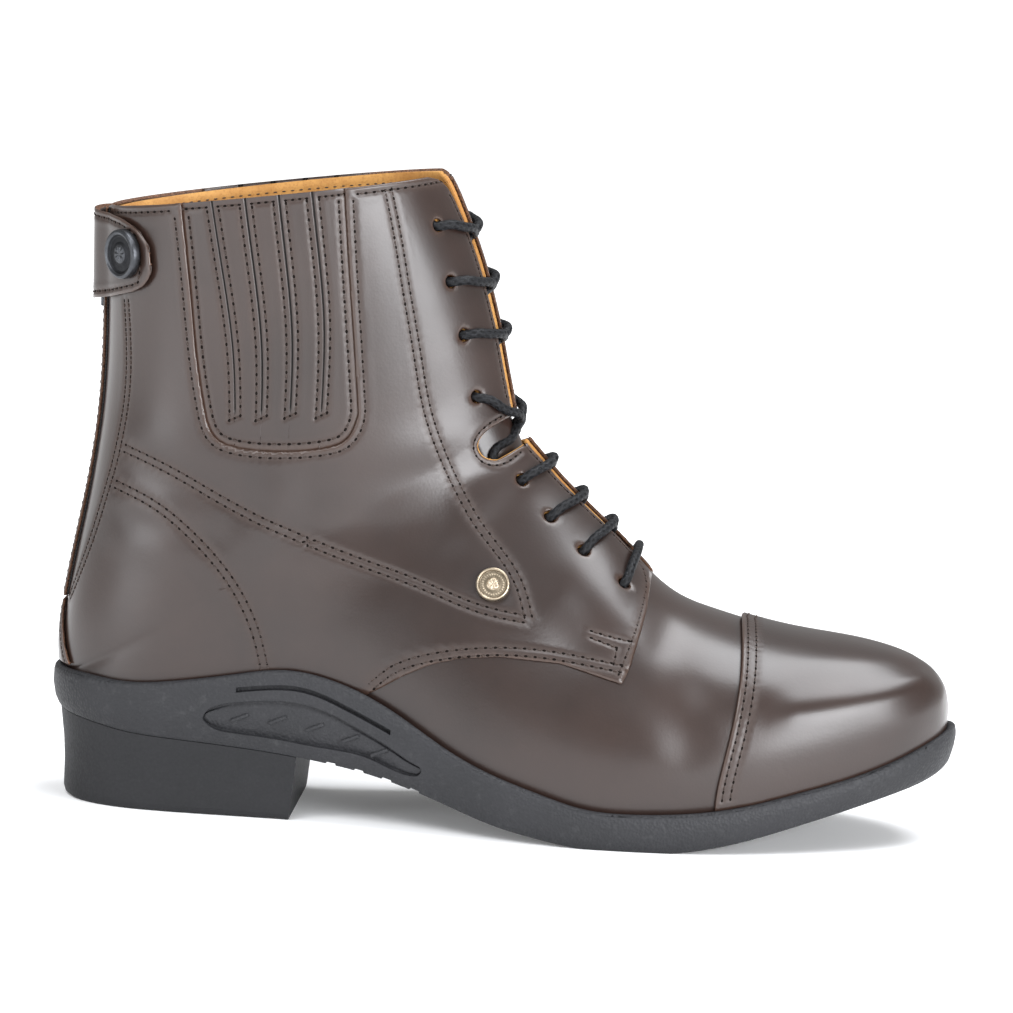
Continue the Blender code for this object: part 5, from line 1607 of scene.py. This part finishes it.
# the drop is how many sections each crossing falls on its way across
laceLook = {"radius": 1.5, "step": 0.5, "sides": 24, "braidPitch": 5.2, "strands": 8, "relief": 0.26,
            "drop": (0.75, 0.8, 0.85, 2.7, 0.3, 0.45, 0.6)}


def crossing(side, number):  # from an eyelet over its own edge and under the other facing to the next eyelet
    other = otherSide[side]
    (section, share), (goal, goalShare) = eyeletAt[side][number], eyeletAt[other][number + 1]
    drop = laceLook["drop"][number]
    over = 1.0 if (number % 2 == 0) == (side == "lateral") else -1.0
    edge, farEdge = last.opening(side, section - 0.55 * drop), last.opening(other, section - drop)
    return [(side, section, share, -0.6), (side, section - 0.1 * drop, share - 0.25 * (share - edge), 2.35),
            (side, section - 0.3 * drop, share - 0.55 * (share - edge), 2.75),
            (side, section - 0.55 * drop, edge, 2.55), (side, section - 0.7 * drop, 0.55 * edge, 1.0),
            (side, section - 0.8 * drop, 0.0, -0.9 + over),
            (other, section - 0.9 * drop, 0.55 * farEdge, -1.9), (other, section - drop, farEdge, -2.9),
            (other, section - drop - 0.1, farEdge + 0.6 * (goalShare - farEdge), -3.5),
            (other, (section - drop - 0.1 + goal) / 2, goalShare, -3.6),
            (other, goal + 0.12, goalShare, -3.5)]


def laceHalf(side):  # from a top eyelet down to the lowest bar: side, section, share, level
    found = []
    for number in range(len(eyelets) - 1):
        found += crossing(side, number)
        side = otherSide[side]
    section, share = eyeletAt[side][-1]
    edge = last.opening(side, section)
    return found + [(side, section, share, -0.6), (side, section, share - 0.3 * (share - edge), 2.35),
                    (side, section, share - 0.7 * (share - edge), 2.75), (side, section, 0.9 * edge, 2.75)]


def laceRoute():
    section = eyeletAt["lateral"][-1][0]
    route = laceHalf("lateral") + [("lateral", section, 0.0, 2.6)] + laceHalf("medial")[::-1]
    start = [(side, *(eyeletAt[side][0] + (0.5, 0.0)), -3.6) for side in towards]
    route = start[:1] + route + start[1:]
    return np.array([last.at(*stop) for stop in route])


def tubePath(points, step):  # even points with a pair of directions across, carried along without twist
    dense = smoothLine(points, step)
    ahead = unit(np.gradient(dense, axis=0))
    side = np.array((0.0, 0.0, 1.0))
    sides = []
    for way in ahead:
        side = unit(side - way * (side @ way))
        sides.append(side)
    sides = np.array(sides)
    return dense, sides, np.cross(ahead, sides)


def makeLace():
    dense, first, second = tubePath(laceRoute(), laceLook["step"])
    print("lace length in millimetres:", round(walkAlong(dense)[-1]))
    count = len(dense)

    def braidHeight(i, angle):  # two sets of strands wind round the cord and pass over one another
        turn = i * laceLook["step"] / laceLook["braidPitch"] * 2 * math.pi
        half = laceLook["strands"] / 2
        one, two = np.cos(half * angle + turn * 2), np.cos(half * angle - turn * 2)
        return np.maximum(one, two) * 0.5 + 0.5

    def place(i, v):
        radius = laceLook["radius"] - laceLook["relief"] * (1 - braidHeight(i, v))
        radius = radius * np.where((i == 0) | (i == count - 1), 0.02, 1.0)
        return dense[i] + (first[i] * np.cos(v)[:, None] + second[i] * np.sin(v)[:, None]) * radius[:, None]

    angles = np.linspace(0, 2 * math.pi, laceLook["sides"] + 1)
    bm = shapedGrid(np.arange(count), angles, place)
    along, around = (grid.ravel() for grid in np.meshgrid(np.arange(count), angles))
    # the strand mark holds the height of the braid, by which the braid material paints shade between the
    # strands
    strand = bm.verts.layers.float.new("strand")
    for vert, height in zip(bm.verts, braidHeight(along, around)):
        vert[strand] = height
    closeUp(bm, 0.0005)
    nodes = ["lace_crossing_%d" % n for n in range(1, len(eyelets))] + ["lace_bar"]
    finishPiece("laceCord", bm, [braid], nodes)


makeLace()
print("boot is laced")

# stitches, and dark beads of painted shade at the needle holes


def copies(bm, count, apart=10.0):  # repeats a small shape along x, each time doubling the row
    made = 1
    while made < count:
        more = min(made, count - made)
        verts = [v for v in bm.verts if v.co.x < (more - 0.5) * apart]
        edges = {e for v in verts for e in v.link_edges}
        faces = {f for v in verts for f in v.link_faces}
        again = bmesh.ops.duplicate(bm, geom=[*verts, *edges, *faces])["geom"]
        fresh = [item for item in again if isinstance(item, bmesh.types.BMVert)]
        bmesh.ops.translate(bm, verts=fresh, vec=(made * apart, 0.0, 0.0))
        made += more


def makeStitches(name, places, size, level, material):
    apart = 10.0
    bm = bmesh.new()
    bmesh.ops.create_uvsphere(bm, u_segments=6, v_segments=4, radius=0.5)
    copies(bm, len(places), apart)
    point, ahead, outward = (np.array(part) for part in zip(*places))
    outward = unit(outward)
    ahead = unit(ahead - outward * (ahead * outward).sum(axis=1, keepdims=True))
    axes = np.stack([ahead, np.cross(outward, ahead), outward], axis=1)
    row = placesOf(bm)
    number = np.rint(row[:, 0] / apart).astype(int)
    bead = (row - np.stack([number * apart, 0 * number, 0 * number], axis=1)) * size
    moveTo(bm, point[number] + outward[number] * level + np.einsum("vk,vkd->vd", bead, axes[number]))
    finishPiece(name, bm, [material])


makeStitches("stitches", stitchPlaces, stitch["size"], -stitch["sink"], thread)
# near-black beads sunk at the needle holes: painted shade in the holes
makeStitches("needleHoles", holePlaces, stitch["hole"], -stitch["holeSink"], needleHoleShade)
print("seams are sewn:", len(stitchPlaces), "stitches")

# light and floor, in metres

# place, size and energy of each soft box
softBoxes = {"keyBox": ((-0.6, -1.3, 1.6), (1.1, 0.9), 26.0),
             "topBox": ((0.5, 0.1, 1.6), (1.3, 1.0), 34.0),
             "sideBox": ((1.3, -1.35, 0.42), (1.3, 0.8), 44.0),
             "leftBox": ((-1.6, -1.3, 0.45), (0.8, 0.9), 12.0)}
studio = {"aim": Vector((0.0, 0.0, 0.1)), "boxColour": (0.95, 0.97, 1.0), "world": 0.45, "floor": 20.0}


def softBox(name, place, size, energy):
    data = bpy.data.lights.new(name, "AREA")
    data.shape, data.size, data.size_y = "RECTANGLE", size[0], size[1]
    data.energy, data.color = energy, studio["boxColour"]
    light = bpy.data.objects.new(name, data)
    light.location = place
    light.rotation_euler = (studio["aim"] - Vector(place)).to_track_quat("-Z", "Y").to_euler()
    bpy.context.scene.collection.objects.link(light)


def makeStage():
    world = bpy.data.worlds.new("whiteStudio")
    world.use_nodes = True
    sky = world.node_tree.nodes["Background"].inputs
    sky["Color"].default_value, sky["Strength"].default_value = rgb(1.0, 1.0, 1.0), studio["world"]
    bpy.context.scene.world = world
    bm = bmesh.new()
    bmesh.ops.create_grid(bm, x_segments=1, y_segments=1, size=studio["floor"])
    mesh = bpy.data.meshes.new("paleFloor")
    bm.to_mesh(mesh)
    bm.free()
    finish = Finish("paleFloor", {"Roughness": 0.9, "Specular IOR Level": 0.0, "Emission Strength": 1.0})
    # the floor glows, faintly near the boot and more further off, so that the far floor turns white: painted
    # light
    away = finish.node("ShaderNodeVectorMath", {"operation": "LENGTH"}, {0: finish.place()}, "Value")
    finish.feed("Emission Color", finish.clouded(away, 0.2, 0.75, rgb(0.1, 0.1, 0.1), rgb(0.7, 0.7, 0.7)))
    finish.feed("Base Color", finish.mix(finish.noise(3.0), rgb(0.93, 0.93, 0.93), rgb(0.96, 0.96, 0.96)))
    mesh.materials.append(finish.material)
    floor = bpy.data.objects.new("paleFloor", mesh)
    bpy.context.scene.collection.objects.link(floor)
    for name, box in softBoxes.items():
        softBox(name, *box)


makeStage()
bpy.context.scene.view_settings.view_transform = "Standard"
